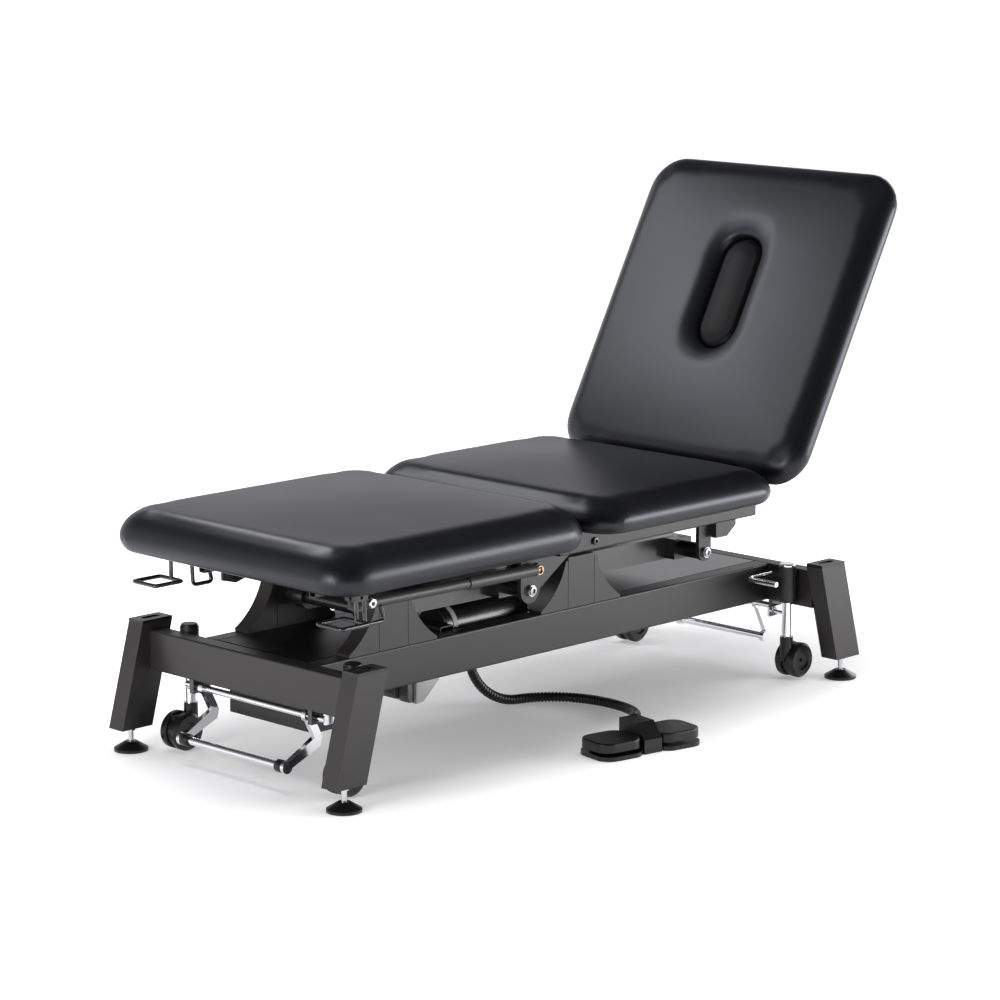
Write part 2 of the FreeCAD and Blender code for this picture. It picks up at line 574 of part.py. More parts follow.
def castors():
    """Twin-wheel castors on plungers that slide in sleeves beside the crossbars."""
    sleeves, caps, nodes = [], [], []
    for end, sign in ENDS:
        for side, hand in SIDES:
            name = f"{end}_{side}"
            x, y = f"{sign} * castor_place", f"{hand} * castor_row"
            sleeve = cylinder(f"sleeve_{name}_outer", "sleeve_dia", "sleeve_length", x, y,
                              "sleeve_low_height")
            bore = cylinder(f"sleeve_{name}_bore", "plunger_dia + 2 * running_fit",
                            "sleeve_length + 2 * overrun", x, y, "sleeve_low_height - overrun")
            sleeves.append(cut(f"sleeve_{name}", sleeve, bore))
            cap = cylinder(f"sleeve_cap_{name}_disc", "sleeve_cap_dia", "sleeve_cap_height", x, y,
                           "sleeve_top_height")
            cap_floor = size("sleeve_top_height") + size("part_gap")
            caps.append(rounded(f"sleeve_cap_{name}", cap, size("sleeve_cap_height") / 2,
                                lambda edge: edge.BoundBox.ZMin > cap_floor))
            stem = cylinder(f"castor_plunger_{name}_stem", "plunger_dia", "plunger_length", x, y,
                            "plunger_low_height")
            pin_start = y if hand < 0 else f"{y} - plunger_pin_length"
            pin = cylinder(f"castor_plunger_{name}_pin", "plunger_pin_dia", "plunger_pin_length", x,
                           pin_start, "pedal_height", "y")
            socket = cylinder(f"castor_plunger_{name}_socket", "swivel_pin_dia + 2 * running_fit",
                              "swivel_pin_length + part_gap + overrun", x, y, "plunger_low_height - overrun")
            solid = join(f"castor_plunger_{name}_solid", stem, pin)
            nodes.append(cut(f"castor_plunger_{name}", solid, socket))
            nodes.append(castor_yoke(name, x, y, sign))
            nodes.append(castor_wheels(name, x, y, sign))
    levers = [castor_lever(side, hand) for side, hand in SIDES]
    return nodes + [group("castor_sleeves", *sleeves), group("castor_trim", *caps, *levers)]


def castor_lever(side, hand):
    """A bent bar beside a head castor, from the crossbar inwards and then out to the side."""
    root, row, z = size("crossbar_inner"), size("lever_row"), size("lever_height")
    tip = root - size("lever_out")
    corners = [Vector(root, hand * row, z), Vector(tip, hand * row, z),
               Vector(tip, hand * (row + size("lever_turn")), z)]
    item = doc.addObject("Part::Feature", f"castor_lever_{side}")
    item.Shape = swept(bent_wire(corners, size("lever_bend"), False), size("lever_dia") / 2)
    return item


def castor_yoke(name, x, y, sign):
    """The swivelling hood of a castor, with its axle."""
    axle_x = f"{x} + {sign} * wheel_trail"
    neck = cylinder(f"castor_yoke_{name}_neck", "yoke_neck_dia",
                    "plunger_low_height - part_gap - axle_height", x, y, "axle_height")
    web = box(f"castor_yoke_{name}_web", "yoke_width", "yoke_web", "wheel_dia / 2 - wheel_shoulder",
              f"{axle_x} - yoke_width / 2", f"{y} - yoke_web / 2", "axle_height")
    hood = cylinder(f"castor_yoke_{name}_hood", "wheel_dia - 2 * wheel_shoulder", "yoke_web", axle_x,
                    f"{y} - yoke_web / 2", "axle_height", "y")
    axle = cylinder(f"castor_yoke_{name}_axle", "axle_dia", "2 * wheel_width + wheel_gap", axle_x,
                    f"{y} - wheel_width - wheel_gap / 2", "axle_height", "y")
    swivel = cylinder(f"castor_yoke_{name}_swivel", "swivel_pin_dia", "swivel_pin_length", x, y,
                      "plunger_low_height - part_gap")
    solid = join(f"castor_yoke_{name}_solid", neck, web, hood, axle, swivel)
    room = "wheel_width + part_gap"
    rooms = []
    starts = (f"{y} - wheel_gap / 2 - {room} + part_gap", f"{y} + wheel_gap / 2 - part_gap")
    for tag, start in zip("ab", starts):
        ring = cylinder(f"castor_yoke_{name}_room_{tag}", "wheel_dia + 2 * part_gap", room, axle_x, start,
                        "axle_height", "y")
        core = cylinder(f"castor_yoke_{name}_core_{tag}", "axle_dia", room, axle_x, start, "axle_height", "y")
        rooms.append(cut(f"castor_yoke_{name}_clear_{tag}", ring, core))
    return cut(f"castor_yoke_{name}", solid, *rooms)


def castor_wheels(name, x, y, sign):
    """A pair of wheels with a rounded tread and a dished outer face."""
    wheels = []
    for tag, way in (("near", -1), ("far", 1)):
        body = new_body(f"castor_wheel_{name}_{tag}")
        inner, outer = "wheel_gap / 2", "wheel_gap / 2 + wheel_width"
        bore = "axle_dia / 2 + running_fit"
        profile = (
            (f"{way} * ({inner})", bore), (f"{way} * ({inner})", "wheel_dia / 2 - wheel_shoulder / 2"),
            (f"{way} * ({inner} + wheel_shoulder / 2)", "wheel_dia / 2"),
            (f"{way} * ({outer} - wheel_shoulder)", "wheel_dia / 2"),
            (f"{way} * ({outer})", "wheel_dia / 2 - wheel_shoulder"), (f"{way} * ({outer})", "hub_dia / 2"),
            (f"{way} * ({outer} - hub_dish)", "hub_dia / 2 - hub_dish"),
            (f"{way} * ({outer} - hub_dish)", bore),
        )
        sketch = polygon(new_sketch(body, f"castor_wheel_{name}_{tag}_profile", "YZ_Plane"), profile)
        revolve(body, sketch, "H_Axis")
        wheels.append(put(body, f"{x} + {sign} * wheel_trail", y, "axle_height"))
    return group(f"castor_wheels_{name}", *wheels)


def castor_pedals():
    """A cross shaft under each crossbar, with two bent arms, a foot bar and two castor cranks."""
    nodes = []
    blocks = []
    for end, sign in ENDS:
        x = f"{sign} * crossbar_middle"
        row = f"{end}_bar_side"
        shaft = cylinder(f"pedal_{end}_shaft", "pedal_shaft_dia", "2 * pedal_reach", x, "-pedal_reach",
                         "pedal_height", "y")
        out = f"{end}_bar_out"
        drop = f"{end}_bar_drop"
        bar = cylinder(f"pedal_{end}_bar", "pedal_bar_dia", f"2 * {row} + pedal_arm_thick", f"{x} + {out}",
                       f"-{row} - pedal_arm_thick / 2", f"pedal_height - {drop}", "y")
        parts = [shaft, bar]
        for side, hand in SIDES:
            parts += pedal_arm(f"pedal_{end}_{side}", x, f"{hand} * {row}", out, drop)
            parts.append(castor_crank(f"pedal_{end}_{side}", x, sign, hand))
            blocks.append(hanger_block(f"{end}_{side}", x, hand))
        nodes.append(join(f"castor_pedal_{end}", *parts))
    return nodes + [group("pedal_hangers", *blocks)]


def pedal_arm(name, x, y, out, drop):
    """A flat arm that bends in below its hub, then out to the foot bar."""
    half = "pedal_arm_width / 2"
    corners = (
        (f"-{half}", 0), (f"pedal_knee_in - {half}", "-pedal_knee_drop"),
        (f"{out}", f"-{drop} + pedal_bar_dia / 2"), (f"{out}", f"-{drop} - pedal_bar_dia / 2"),
        (f"pedal_knee_in + {half} / 2", "-pedal_knee_drop - pedal_arm_width"),
        (f"pedal_knee_in + {half}", "-pedal_knee_drop"), (half, 0),
    )
    arm = plate(name + "_arm", corners, "pedal_arm_thick", x, y, "pedal_height")
    hub = cylinder(name + "_hub", "pedal_hub_dia", "pedal_arm_thick", x, f"{y} - pedal_arm_thick / 2",
                   "pedal_height", "y")
    clamp = cylinder(name + "_clamp", "pedal_clamp_dia", "pedal_arm_thick", f"{x} + {out}",
                     f"{y} - pedal_arm_thick / 2", f"pedal_height - {drop}", "y")
    return [arm, hub, clamp]


def castor_crank(name, x, sign, hand):
    """The short crank on a pedal shaft that carries the plunger pin in a slot."""
    reach = "(crossbar_middle - castor_place)"
    start = f"{x} - {reach} - crank_slot_length" if sign > 0 else x
    y = "pedal_reach - crank_thick" if hand > 0 else "-pedal_reach"
    block = box(name + "_crank_block", f"{reach} + crank_slot_length", "crank_thick", "crank_height", start,
                y, "pedal_height - crank_height / 2")
    slot = box(name + "_crank_slot", "crank_slot_length", "crank_thick + 2 * overrun", "crank_slot_height",
               f"{x} - {sign} * {reach} - crank_slot_length / 2", f"{y} - overrun",
               "pedal_height - crank_slot_height / 2")
    return cut(name + "_crank", block, slot)


def hanger_block(name, x, hand):
    """A bearing block under a crossbar that holds a pedal shaft."""
    y = f"{hand} * hanger_block_row - pedal_arm_thick / 2"
    block = box(f"hanger_{name}_block", "hanger_block_width", "pedal_arm_thick",
                "rail_bottom - pedal_height + pedal_hub_dia / 2", f"{x} - hanger_block_width / 2", y,
                "pedal_height - pedal_hub_dia / 2")
    bore = cylinder(f"hanger_{name}_bore", "pedal_shaft_dia + 2 * running_fit",
                    "pedal_arm_thick + 2 * overrun", x, f"{y} - overrun", "pedal_height", "y")
    return cut(f"hanger_{name}", block, bore)


def lift_arms():
    """Two welded arm frames: a lower shaft, two arms and an upper tie with a neck at each end."""
    nodes = []
    for end, x in (("foot", "-foot_post_place"), ("head", "head_post_place")):
        name = f"lift_arms_{end}"
        shaft_half = "(rail_inner + post_wall + bush_wall)"
        shaft = cylinder(name + "_shaft", "lift_shaft_dia", f"2 * {shaft_half}", x, f"-{shaft_half}",
                         "lower_pivot_height", "y")
        parts = [shaft]
        half = "arm_height / 2"
        corners = ((0, f"-{half}"), ("arm_reach", f"-arm_drop - {half}"),
                   ("arm_reach", f"-arm_drop + {half}"), (0, half))
        for side, hand in SIDES:
            row = f"{hand} * arm_side"
            parts.append(plate(f"{name}_{side}_arm", corners, "arm_thick", x, row, "lower_pivot_height"))
            parts.append(cylinder(f"{name}_{side}_eye", "arm_height", "arm_thick", x,
                                  f"{row} - arm_thick / 2", "lower_pivot_height", "y"))
        tie_x = f"{x} + arm_reach"
        parts.append(box(name + "_tie", "tie_box_width", "tie_box_length", "tie_box_height",
                         f"{tie_x} - tie_box_width / 2", "-tie_box_length / 2",
                         "upper_pivot_height - tie_box_height / 2"))
        parts.append(cylinder(name + "_neck", "tie_neck_dia", "2 * tie_half", tie_x, "-tie_half",
                              "upper_pivot_height", "y"))
        if end == "head":
            parts += lift_levers(name, x)
        solid = join(name + "_solid", *parts)
        bores = []
        for side, hand in SIDES:
            y = "tie_half - tie_pin_length" if hand > 0 else "-tie_half - overrun"
            bores.append(cylinder(f"{name}_{side}_bore", "tie_pin_dia + 2 * running_fit",
                                  "tie_pin_length + overrun", tie_x, y, "upper_pivot_height", "y"))
        nodes.append(cut(name, solid, *bores))
    return nodes


def lift_levers(name, x):
    """Two slotted levers that hang from the head lift shaft, one on each side of the ram eye."""
    row = "(ram_eye_width / 2 + part_gap + lever_thick / 2)"
    return [
        slotted_lever(f"{name}_{side}_lever", "lever_width", "lever_tip", "lift_lever_drop",
                      "lift_lever_reach", "lever_slot_width", "(ram_pin_dia / 2 + lever_slot_play / 2)",
                      "lift_lag_angle", (x, f"{hand} * {row}", "lower_pivot_height"))
        for side, hand in SIDES
    ]


def slotted_lever(name, width, tip, near, far, slot_width, slot_end, lag, place):
    """A lever that hangs from its shaft, with a slot for a pin between a near and a far radius."""
    half, low = f"{width} / 2", f"-{far} - {slot_end} - {tip}"
    body = new_body(name)
    outline = ((f"-{half}", 0), (f"-{half}", f"{low} + {half} / 2"), (f"-{half} / 2", low),
               (f"{half} / 2", low), (half, f"{low} + {half} / 2"), (half, 0))
    pad(body, polygon(new_sketch(body, name + "_outline", "XZ_Plane"), outline), "lever_thick")
    side, top, bottom = f"{slot_width} / 2", f"-{near} + {slot_end}", f"-{far} - {slot_end}"
    slot = ((f"-{side}", bottom), (side, bottom), (side, top), (f"-{side}", top))
    pocket(body, polygon(new_sketch(body, name + "_slot", "XZ_Plane"), slot), "lever_thick + overrun")
    put(body, *place)
    return turned(body, f"-{lag}")


def lift_motor():
    """The lift actuator: a motor beside its ram tube, the gearcase that joins them and its cradle."""
    z = "motor_height"
    motor = cylinder("motor_barrel", "motor_dia", "motor_length", "motor_end - motor_length",
                     "-motor_offset", f"{z} + barrel_rise", "x")
    barrel = rounded("motor_body", motor, size("tube_corner"), is_round)
    collar = cylinder("motor_ring", "motor_dia + 2 * motor_ring_proud", "motor_ring_length",
                      "motor_end - motor_length + motor_ring_inset", "-motor_offset",
                      f"{z} + barrel_rise", "x")
    case = box("motor_gearcase", "gearcase_length", "motor_offset + ram_tube_dia", "ram_tube_dia",
               "motor_end - motor_length", "-motor_offset - ram_tube_dia / 2", f"{z} - ram_tube_dia / 2")
    ram_tube = cylinder("motor_ram_tube", "ram_tube_dia", "ram_tube_length",
                        "ram_tube_end - ram_tube_length", 0, z, "x")
    bore = cylinder("motor_ram_bore", "ram_dia + 2 * running_fit", "ram_tube_length",
                    "ram_tube_end - ram_tube_length + ram_eye_dia", 0, z, "x")
    housing = cut("lift_motor", join("lift_motor_solid", barrel, collar, case, ram_tube), bore)
    eye_x = "ram_eye_place"
    start = "(ram_tube_end - ram_tube_length + ram_eye_dia + overrun)"
    rod = cylinder("lift_ram_rod", "ram_dia", f"{eye_x} - {start}", start, 0, z, "x")
    eye = cylinder("lift_ram_eye", "ram_eye_dia", "ram_eye_width", eye_x, "-ram_eye_width / 2", z, "y")
    pin_half = "(ram_eye_width / 2 + part_gap + lever_thick + part_gap)"
    pin = cylinder("lift_ram_pin", "ram_pin_dia", f"2 * {pin_half}", eye_x, f"-{pin_half}", z, "y")
    return [housing, join("lift_ram", rod, eye, pin)]


def motor_cradle():
    """The cross tube between the rails that takes the push of the lift motor."""
    return tube("motor_cradle", "y", "cradle_depth", "cradle_height", "tube_wall", "2 * rail_inner",
                "motor_end - motor_length - cradle_depth / 2", 0, "motor_height")


def seat_section():
    """The seat frame: two bars, two ties and four hanger plates that carry the lift pins."""
    nodes = [group("seat_bars", *[seat_bar(side, hand) for side, hand in SIDES])]
    ties = [tube(f"seat_tie_{tag}", "y", "seat_tie_depth", "seat_tie_height", "tube_wall", "2 * hanger_outer",
                 f"seat_tie_{tag}", 0, "seat_bottom - seat_tie_height / 2") for tag in ("first", "last")]
    nodes.append(group("seat_ties", *ties))
    hangers = [hanger(end, side, hand) for end, sign in ENDS for side, hand in SIDES]
    nodes.append(group("lift_hangers", *hangers))
    nodes.append(cushion("seat_cushion", "seat_start", "seat_end", "seat_thick"))
    nodes += back_strut()
    return nodes


def seat_bar(side, hand):
    """A seat side bar with the hub of the back hinge at its end and a lug under it."""
    name = f"seat_bar_{side}"
    length = "(seat_bar_end - seat_bar_start)"
    row = f"{hand} * seat_bar_row"
    bar = tube(name + "_tube", "x", "seat_bar_width", "seat_bar_height", "tube_wall", length,
               f"seat_bar_start + {length} / 2", row, "seat_bottom - seat_bar_height / 2")
    low = f"{row} - seat_bar_width / 2"
    hub = cylinder(name + "_hub", "seat_hub_dia", "seat_bar_width + 2 * hub_proud", "back_hinge_place",
                   f"{low} - hub_proud", "back_hinge_height", "y")
    outline = ((0, 0), (0, "-lug_height"), ("lug_length - lug_nose - lug_slope", "-lug_height"),
               ("lug_length", "-lug_nose"), ("lug_length", 0))
    lug = plate(name + "_lug", outline, "lug_width", "lug_place", row, "seat_bar_bottom")
    bores = [
        cylinder(f"{name}_{tag}_bore", f"{tag}_{kind}_dia + 2 * running_fit", "seat_bar_width + 2 * overrun",
                 f"{tag}_hinge_place", f"{low} - overrun", f"{tag}_hinge_height", "y")
        for tag, kind in (("leg", "hinge"), ("back", "shaft"))
    ]
    return cut(name, join(name + "_solid", bar, hub, lug), *bores)


def hanger(end, side, hand):
    """A plate inside a seat bar that hangs down to one upper lift pivot, with its pin."""
    name = f"hanger_{end}_{side}"
    pivot = "-foot_post_place + arm_reach" if end == "foot" else "head_post_place + arm_reach"
    top = "seat_bottom - upper_pivot_height - seat_tie_height"
    width = f"{end}_hanger_width"
    half = f"{width} / 2"
    high = f"{half} + hanger_plate_length" if end == "foot" else half
    shoulder = f"seat_bar_start - ({pivot})" if end == "foot" else f"-{half} / 2"
    outline = ((f"-{half}", 0), (half, 0), (high, "seat_bar_bottom - upper_pivot_height"), (high, top),
               (shoulder, top), (f"-{half}", "leg_hinge_height - upper_pivot_height"))
    row = f"{hand} * (hanger_inner + hanger_thick / 2)"
    body = plate(name + "_plate", outline, "hanger_thick", pivot, row, "upper_pivot_height")
    low = f"{row} - hanger_thick / 2"
    end_round = cylinder(name + "_end", width, "hanger_thick", pivot, low, "upper_pivot_height", "y")
    start = "hanger_inner - tie_pin_length" if hand > 0 else "-hanger_inner"
    pin = cylinder(name + "_pin", "tie_pin_dia", "tie_pin_length", pivot, start, "upper_pivot_height", "y")
    head_start = "hanger_outer" if hand > 0 else "-hanger_outer - bolt_head_height"
    bolt = cylinder(name + "_bolt", "bolt_head_dia", "bolt_head_height", pivot, head_start,
                    "upper_pivot_height", "y")
    parts = [body, end_round, pin, bolt]
    if end == "foot":
        gas_start = "hanger_outer" if hand > 0 else "-gas_side - gas_eye_width / 2"
        parts.append(cylinder(name + "_gas_pin", "gas_pin_dia", "gas_side + gas_eye_width / 2 - hanger_outer",
                              "gas_eye_place", gas_start, "gas_eye_height", "y"))
    return join(name, *parts)


def cushion(name, start, end, thick):
    """A padded cushion that lies flat under the couch top."""
    item = doc.addObject("Part::Feature", name)
    item.Shape = cushion_solid(size(end) - size(start), size(thick), size("cushion_corner"))
    item.Placement = Placement(Vector(size(start), 0, size("cushion_top_height") - size(thick)), Rotation())
    return item


def cushion_solid(length, thick, corner):
    """A loft from a drawn-in bottom, out over full sides and in over a rolled edge to a low crown."""
    draw, roll, crown = size("cushion_draw"), size("cushion_roll"), size("cushion_crown")
    width = size("couch_width")
    rings = [
        rounded_ring(length, width, corner, low * draw + high * roll, share * (thick - crown))
        for share, low, high in CUSHION_SHARES
    ]
    rings += [
        rounded_ring(length, width, corner, share * min(length, width), thick - crown + rise * crown)
        for rise, share in CROWN_SHARES
    ]
    return Part.makeLoft(rings, True, True)


def rounded_ring(length, width, corner, inset, height):
    """A rounded rectangle from x = inset, drawn with lines and quarter arcs."""
    radius = max(corner - inset / 2, corner / 2)
    x_low, x_high = inset + radius, length - inset - radius
    y_high = width / 2 - inset - radius
    centres = ((x_high, y_high), (x_low, y_high), (x_low, -y_high), (x_high, -y_high))
    arcs = []
    for quarter, (x, y) in enumerate(centres):
        turns = [(quarter + part / 2) * math.pi / 2 for part in range(3)]
        arcs.append([Vector(x + radius * math.cos(turn), y + radius * math.sin(turn), height)
                     for turn in turns])
    edges = []
    for i, ends in enumerate(arcs):
        edges.append(Part.Arc(*ends).toShape())
        edges.append(Part.LineSegment(ends[-1], arcs[(i + 1) % len(arcs)][0]).toShape())
    return Part.Wire(edges)


def back_strut():
    """The gas spring of the back, fixed under the seat ties; its rod pushes the back levers."""
    z = "strut_height"
    barrel = cylinder("strut_barrel", "strut_tube_dia", "strut_tube_length", "strut_start", 0, z, "x")
    bore = cylinder("strut_bore", "strut_rod_dia + 2 * running_fit", "strut_tube_length",
                    "strut_start + strut_tube_dia", 0, z, "x")
    saddles = [
        box(f"strut_saddle_{tag}", "strut_clevis", "strut_tube_dia",
            "seat_bottom - seat_tie_height - strut_height", f"seat_tie_{tag} - strut_clevis / 2",
            "-strut_tube_dia / 2", z)
        for tag in ("first", "last")
    ]
    return [cut("back_strut_tube", join("back_strut_solid", barrel, *saddles), bore), strut_rod()]


def strut_rod():
    """The rod of the back gas spring, with a cross pin that rides in the back levers."""
    eye_x = "(back_hinge_place + back_lever_drop * tan(back_angle - back_lag_angle))"
    z = "strut_height"
    start = "(strut_start + strut_rod_inset)"
    rod = cylinder("strut_rod_bar", "strut_rod_dia", f"{eye_x} - {start}", start, 0, z, "x")
    eye = cylinder("strut_rod_eye", "strut_eye_dia", "strut_eye_width", eye_x, "-strut_eye_width / 2", z, "y")
    half = "(strut_eye_width / 2 + 2 * part_gap + lever_thick)"
    pin = cylinder("strut_rod_pin", "strut_pin_dia", f"2 * {half}", eye_x, f"-{half}", z, "y")
    return join("back_strut_rod", rod, eye, pin)


def leg_section():
    """The leg frame on its cranked hinge arms, its cushion, gas springs and release handles."""
    parts = []
    length = "(leg_bar_end - leg_bar_start)"
    for side, hand in SIDES:
        parts.append(tube(f"leg_bar_{side}", "x", "leg_bar_width", "leg_bar_height", "tube_wall", length,
                          f"leg_bar_start + {length} / 2", f"{hand} * leg_bar_row",
                          "leg_bottom_face - leg_bar_height / 2"))
        parts.append(leg_arm(side, hand))
        parts.append(gas_bracket(side, hand))
        parts.append(handle_block(side, hand))
    for tag, place in (("low", "leg_bar_start + leg_tie_depth / 2"), ("high", "leg_bar_end - leg_tie_depth")):
        parts.append(tube(f"leg_tie_{tag}", "y", "leg_tie_depth", "leg_tie_height", "tube_wall",
                          "2 * leg_bar_row - leg_bar_width", place, 0,
                          "leg_bottom_face - leg_tie_height / 2"))
    nodes = [group("leg_frame", *parts), cushion("leg_cushion", "leg_start", "leg_end", "leg_cushion_thick")]
    for side, hand in SIDES:
        nodes += gas_spring(side, hand)
        nodes.append(release_handle(side, hand))
    return nodes


def leg_arm(side, hand):
    """A hinge arm that dips under the seat edge on its way from the hinge pin to the leg bar."""
    name = f"leg_arm_{side}"
    x, z = "leg_hinge_place", "leg_hinge_height"
    half = "leg_arm_width / 2"
    dip_x = "(seat_start - leg_hinge_place)"
    joint_x = "(leg_bar_end - leg_hinge_place)"
    top = "(leg_bottom_face - leg_hinge_height)"
    tail_x = f"({joint_x} - 2 * leg_arm_width)"
    outline = (
        (0, half), (dip_x, f"{half} - leg_arm_dip"), (f"{joint_x}", top), (tail_x, top),
        (tail_x, f"{top} - leg_bar_height"), (dip_x, f"-{half} - leg_arm_dip"), (0, f"-{half}"),
    )
    row = f"{hand} * (leg_arm_inner + leg_arm_thick / 2)"
    body = plate(name + "_plate", outline, "leg_arm_thick", x, row, z)
    hub = cylinder(name + "_hub", "leg_arm_width", "leg_arm_thick", x, f"{row} - leg_arm_thick / 2", z, "y")
    start = "leg_arm_inner" if hand > 0 else "-hanger_outer - seat_bar_width"
    reach = "hanger_outer + seat_bar_width - leg_arm_inner"
    pin = cylinder(name + "_pin", "leg_hinge_dia", reach, x, start, z, "y")
    return join(name, body, hub, pin)


def gas_bracket(side, hand):
    """The plate on the leg frame that takes the far end of a gas spring."""
    name = f"gas_bracket_{side}"
    half = "gas_bracket_length / 2"
    top = "leg_bottom_face - gas_far_height"
    outline = ((f"-{half}", top), (half, top), (half, "-gas_hole_dia / 2"), (0, f"{top} - gas_bracket_drop"),
               (f"-{half}", "-gas_hole_dia / 2"))
    row = f"{hand} * (gas_bracket_side + gas_bracket_thick / 2)"
    body = plate(name + "_plate", outline, "gas_bracket_thick", "gas_far_place", row, "gas_far_height",
                 [("gas_hole_dia", 0, 0)])
    width = "gas_bracket_side - leg_arm_inner"
    start = "leg_arm_inner" if hand > 0 else "-gas_bracket_side"
    stub = box(name + "_stub", "gas_bracket_length", width, "leg_tie_height", f"gas_far_place - {half}",
               start, "leg_bottom_face - leg_tie_height")
    return join(name, body, stub)


def handle_block(side, hand):
    """The bearing block of a release handle, under the leg cushion."""
    name = f"handle_block_{side}"
    x = "handle_place + handle_length / 2"
    y = f"{hand} * handle_side - handle_block_width / 2"
    low = "handle_pivot_height - handle_wire"
    block = box(name + "_solid", "handle_block_length", "handle_block_width", f"leg_bottom_face - ({low})",
                f"{x} - handle_block_length / 2", y, low)
    slot = box(name + "_slot", "handle_block_length + 2 * overrun", "handle_wire + 2 * part_gap",
               "2 * handle_wire + overrun", f"{x} - handle_block_length / 2 - overrun",
               f"{hand} * handle_side - handle_wire / 2 - part_gap", f"{low} - overrun")
    bore = cylinder(name + "_bore", "handle_wire + 2 * running_fit", "handle_block_width + 2 * overrun", x,
                    f"{y} - overrun", "handle_pivot_height", "y")
    return cut(name, block, slot, bore)


def gas_spring(side, hand):
    """A gas spring in two sliding halves: a guard tube on the hanger pin and the cylinder in it."""
    y = f"{hand} * gas_side"
    angle = "atan((gas_far_height - gas_eye_height) / (gas_eye_place - gas_far_place))"
    span = "sqrt(pow(gas_far_height - gas_eye_height; 2) + pow(gas_eye_place - gas_far_place; 2))"
    eye_half = "gas_eye_width / 2"
    guard = cylinder(f"gas_guard_{side}_tube", "gas_guard_dia", "gas_guard_length", "-gas_guard_length", 0, 0,
                     "x")
    eye = cylinder(f"gas_guard_{side}_eye", "gas_boss_dia", "gas_eye_width", 0, f"-{eye_half}", 0, "y")
    bore = cylinder(f"gas_guard_{side}_bore", "gas_body_dia + 2 * gas_slide_fit", "gas_guard_length",
                    "-gas_guard_length - gas_eye_dia", 0, 0, "x")
    hole = cylinder(f"gas_guard_{side}_hole", "gas_pin_dia + 2 * running_fit", "gas_boss_dia + 2 * overrun",
                    0, "-gas_boss_dia / 2 - overrun", 0, "y")
    tube_node = cut(f"gas_spring_guard_{side}", join(f"gas_guard_{side}_solid", guard, eye), bore, hole)
    body = cylinder(f"gas_body_{side}_tube", "gas_body_dia", f"{span} - gas_body_inset", f"-{span}", 0,
                    0, "x")
    head = cylinder(f"gas_body_{side}_head", "gas_eye_dia", "gas_eye_width", f"-{span}",
                    f"-{eye_half}", 0, "y")
    inner = f"{hand} * (gas_bracket_side - gas_side - part_gap)"
    start = inner if hand > 0 else "0"
    pin = cylinder(f"gas_body_{side}_pin", "gas_pin_dia", "gas_side - gas_bracket_side + part_gap",
                   f"-{span}", start, 0, "y")
    face = "gas_bracket_side + gas_bracket_thick + part_gap - gas_side"
    flange_start = face if hand > 0 else f"-({face}) - gas_flange_thick"
    flange = cylinder(f"gas_body_{side}_flange", "gas_flange_dia", "gas_flange_thick", f"-{span}",
                      flange_start, 0, "y")
    rod_node = join(f"gas_spring_body_{side}", body, head, pin, flange)
    for node in (tube_node, rod_node):
        put(node, "gas_eye_place", y, "gas_eye_height")
        turned(node, f"-{angle}")
    return [tube_node, rod_node]


def bent_wire(corners, bend, closed):
    """A wire through corner points, with a quarter-round bend of one radius at each corner."""
    count = len(corners)
    edges = []
    joints = []
    for i, corner in enumerate(corners):
        if not closed and i in (0, count - 1):
            joints.append((corner, None, corner))
            continue
        before = (corners[i - 1] - corner).normalize()
        after = (corners[(i + 1) % count] - corner).normalize()
        half_turn = before.getAngle(after) / 2
        reach = bend / math.tan(half_turn)
        start, stop = corner + before * reach, corner + after * reach
        inward = (before + after).normalize()
        middle = corner + inward * (bend / math.sin(half_turn) - bend)
        joints.append((start, middle, stop))
    last = count if closed else count - 1
    for i in range(count):
        start, middle, stop = joints[i]
        if middle is not None:
            edges.append(Part.Arc(start, middle, stop).toShape())
        if i < last:
            edges.append(Part.LineSegment(stop, joints[(i + 1) % count][0]).toShape())
    return Part.Wire(edges)


def swept(wire, radius):
    """A round bar along a wire."""
    start = wire.Edges[0].valueAt(wire.Edges[0].FirstParameter)
    way = wire.Edges[0].tangentAt(wire.Edges[0].FirstParameter)
    ring = Part.Wire([Part.Circle(start, way, radius).toShape()])
    return wire.makePipeShell([ring], True, False)


def release_handle(side, hand):
    """A bent-wire loop under the foot end; its stem turns in the bearing block."""
    name = f"release_handle_{side}"
    radius = size("handle_wire") / 2
    half_x, half_y = size("handle_length") / 2, size("handle_width") / 2
    x, y, z = size("handle_place"), hand * size("handle_side"), size("handle_height")
    corners = [Vector(x + a * half_x, y + b * half_y, z) for a, b in HANDLE_SHARES]
    loop_solid = swept(bent_wire(corners, size("handle_bend"), False), radius)
    reach = half_y * (HANDLE_SHARES[0][1] - HANDLE_SHARES[-1][1])
    closing = Part.makeCylinder(radius, reach, Vector(x + half_x, y - half_y, z), Vector(0, 1, 0))
    top = size("handle_pivot_height")
    stem = Part.makeCylinder(radius, top - z, Vector(x + half_x, y, z), Vector(0, 0, 1))
    block = size("handle_block_width")
    pin = Part.makeCylinder(radius, block, Vector(x + half_x, y - block / 2, top), Vector(0, 1, 0))
    item = doc.addObject("Part::Feature", name)
    item.Shape = loop_solid.fuse([closing, stem, pin]).removeSplitter()
    return item


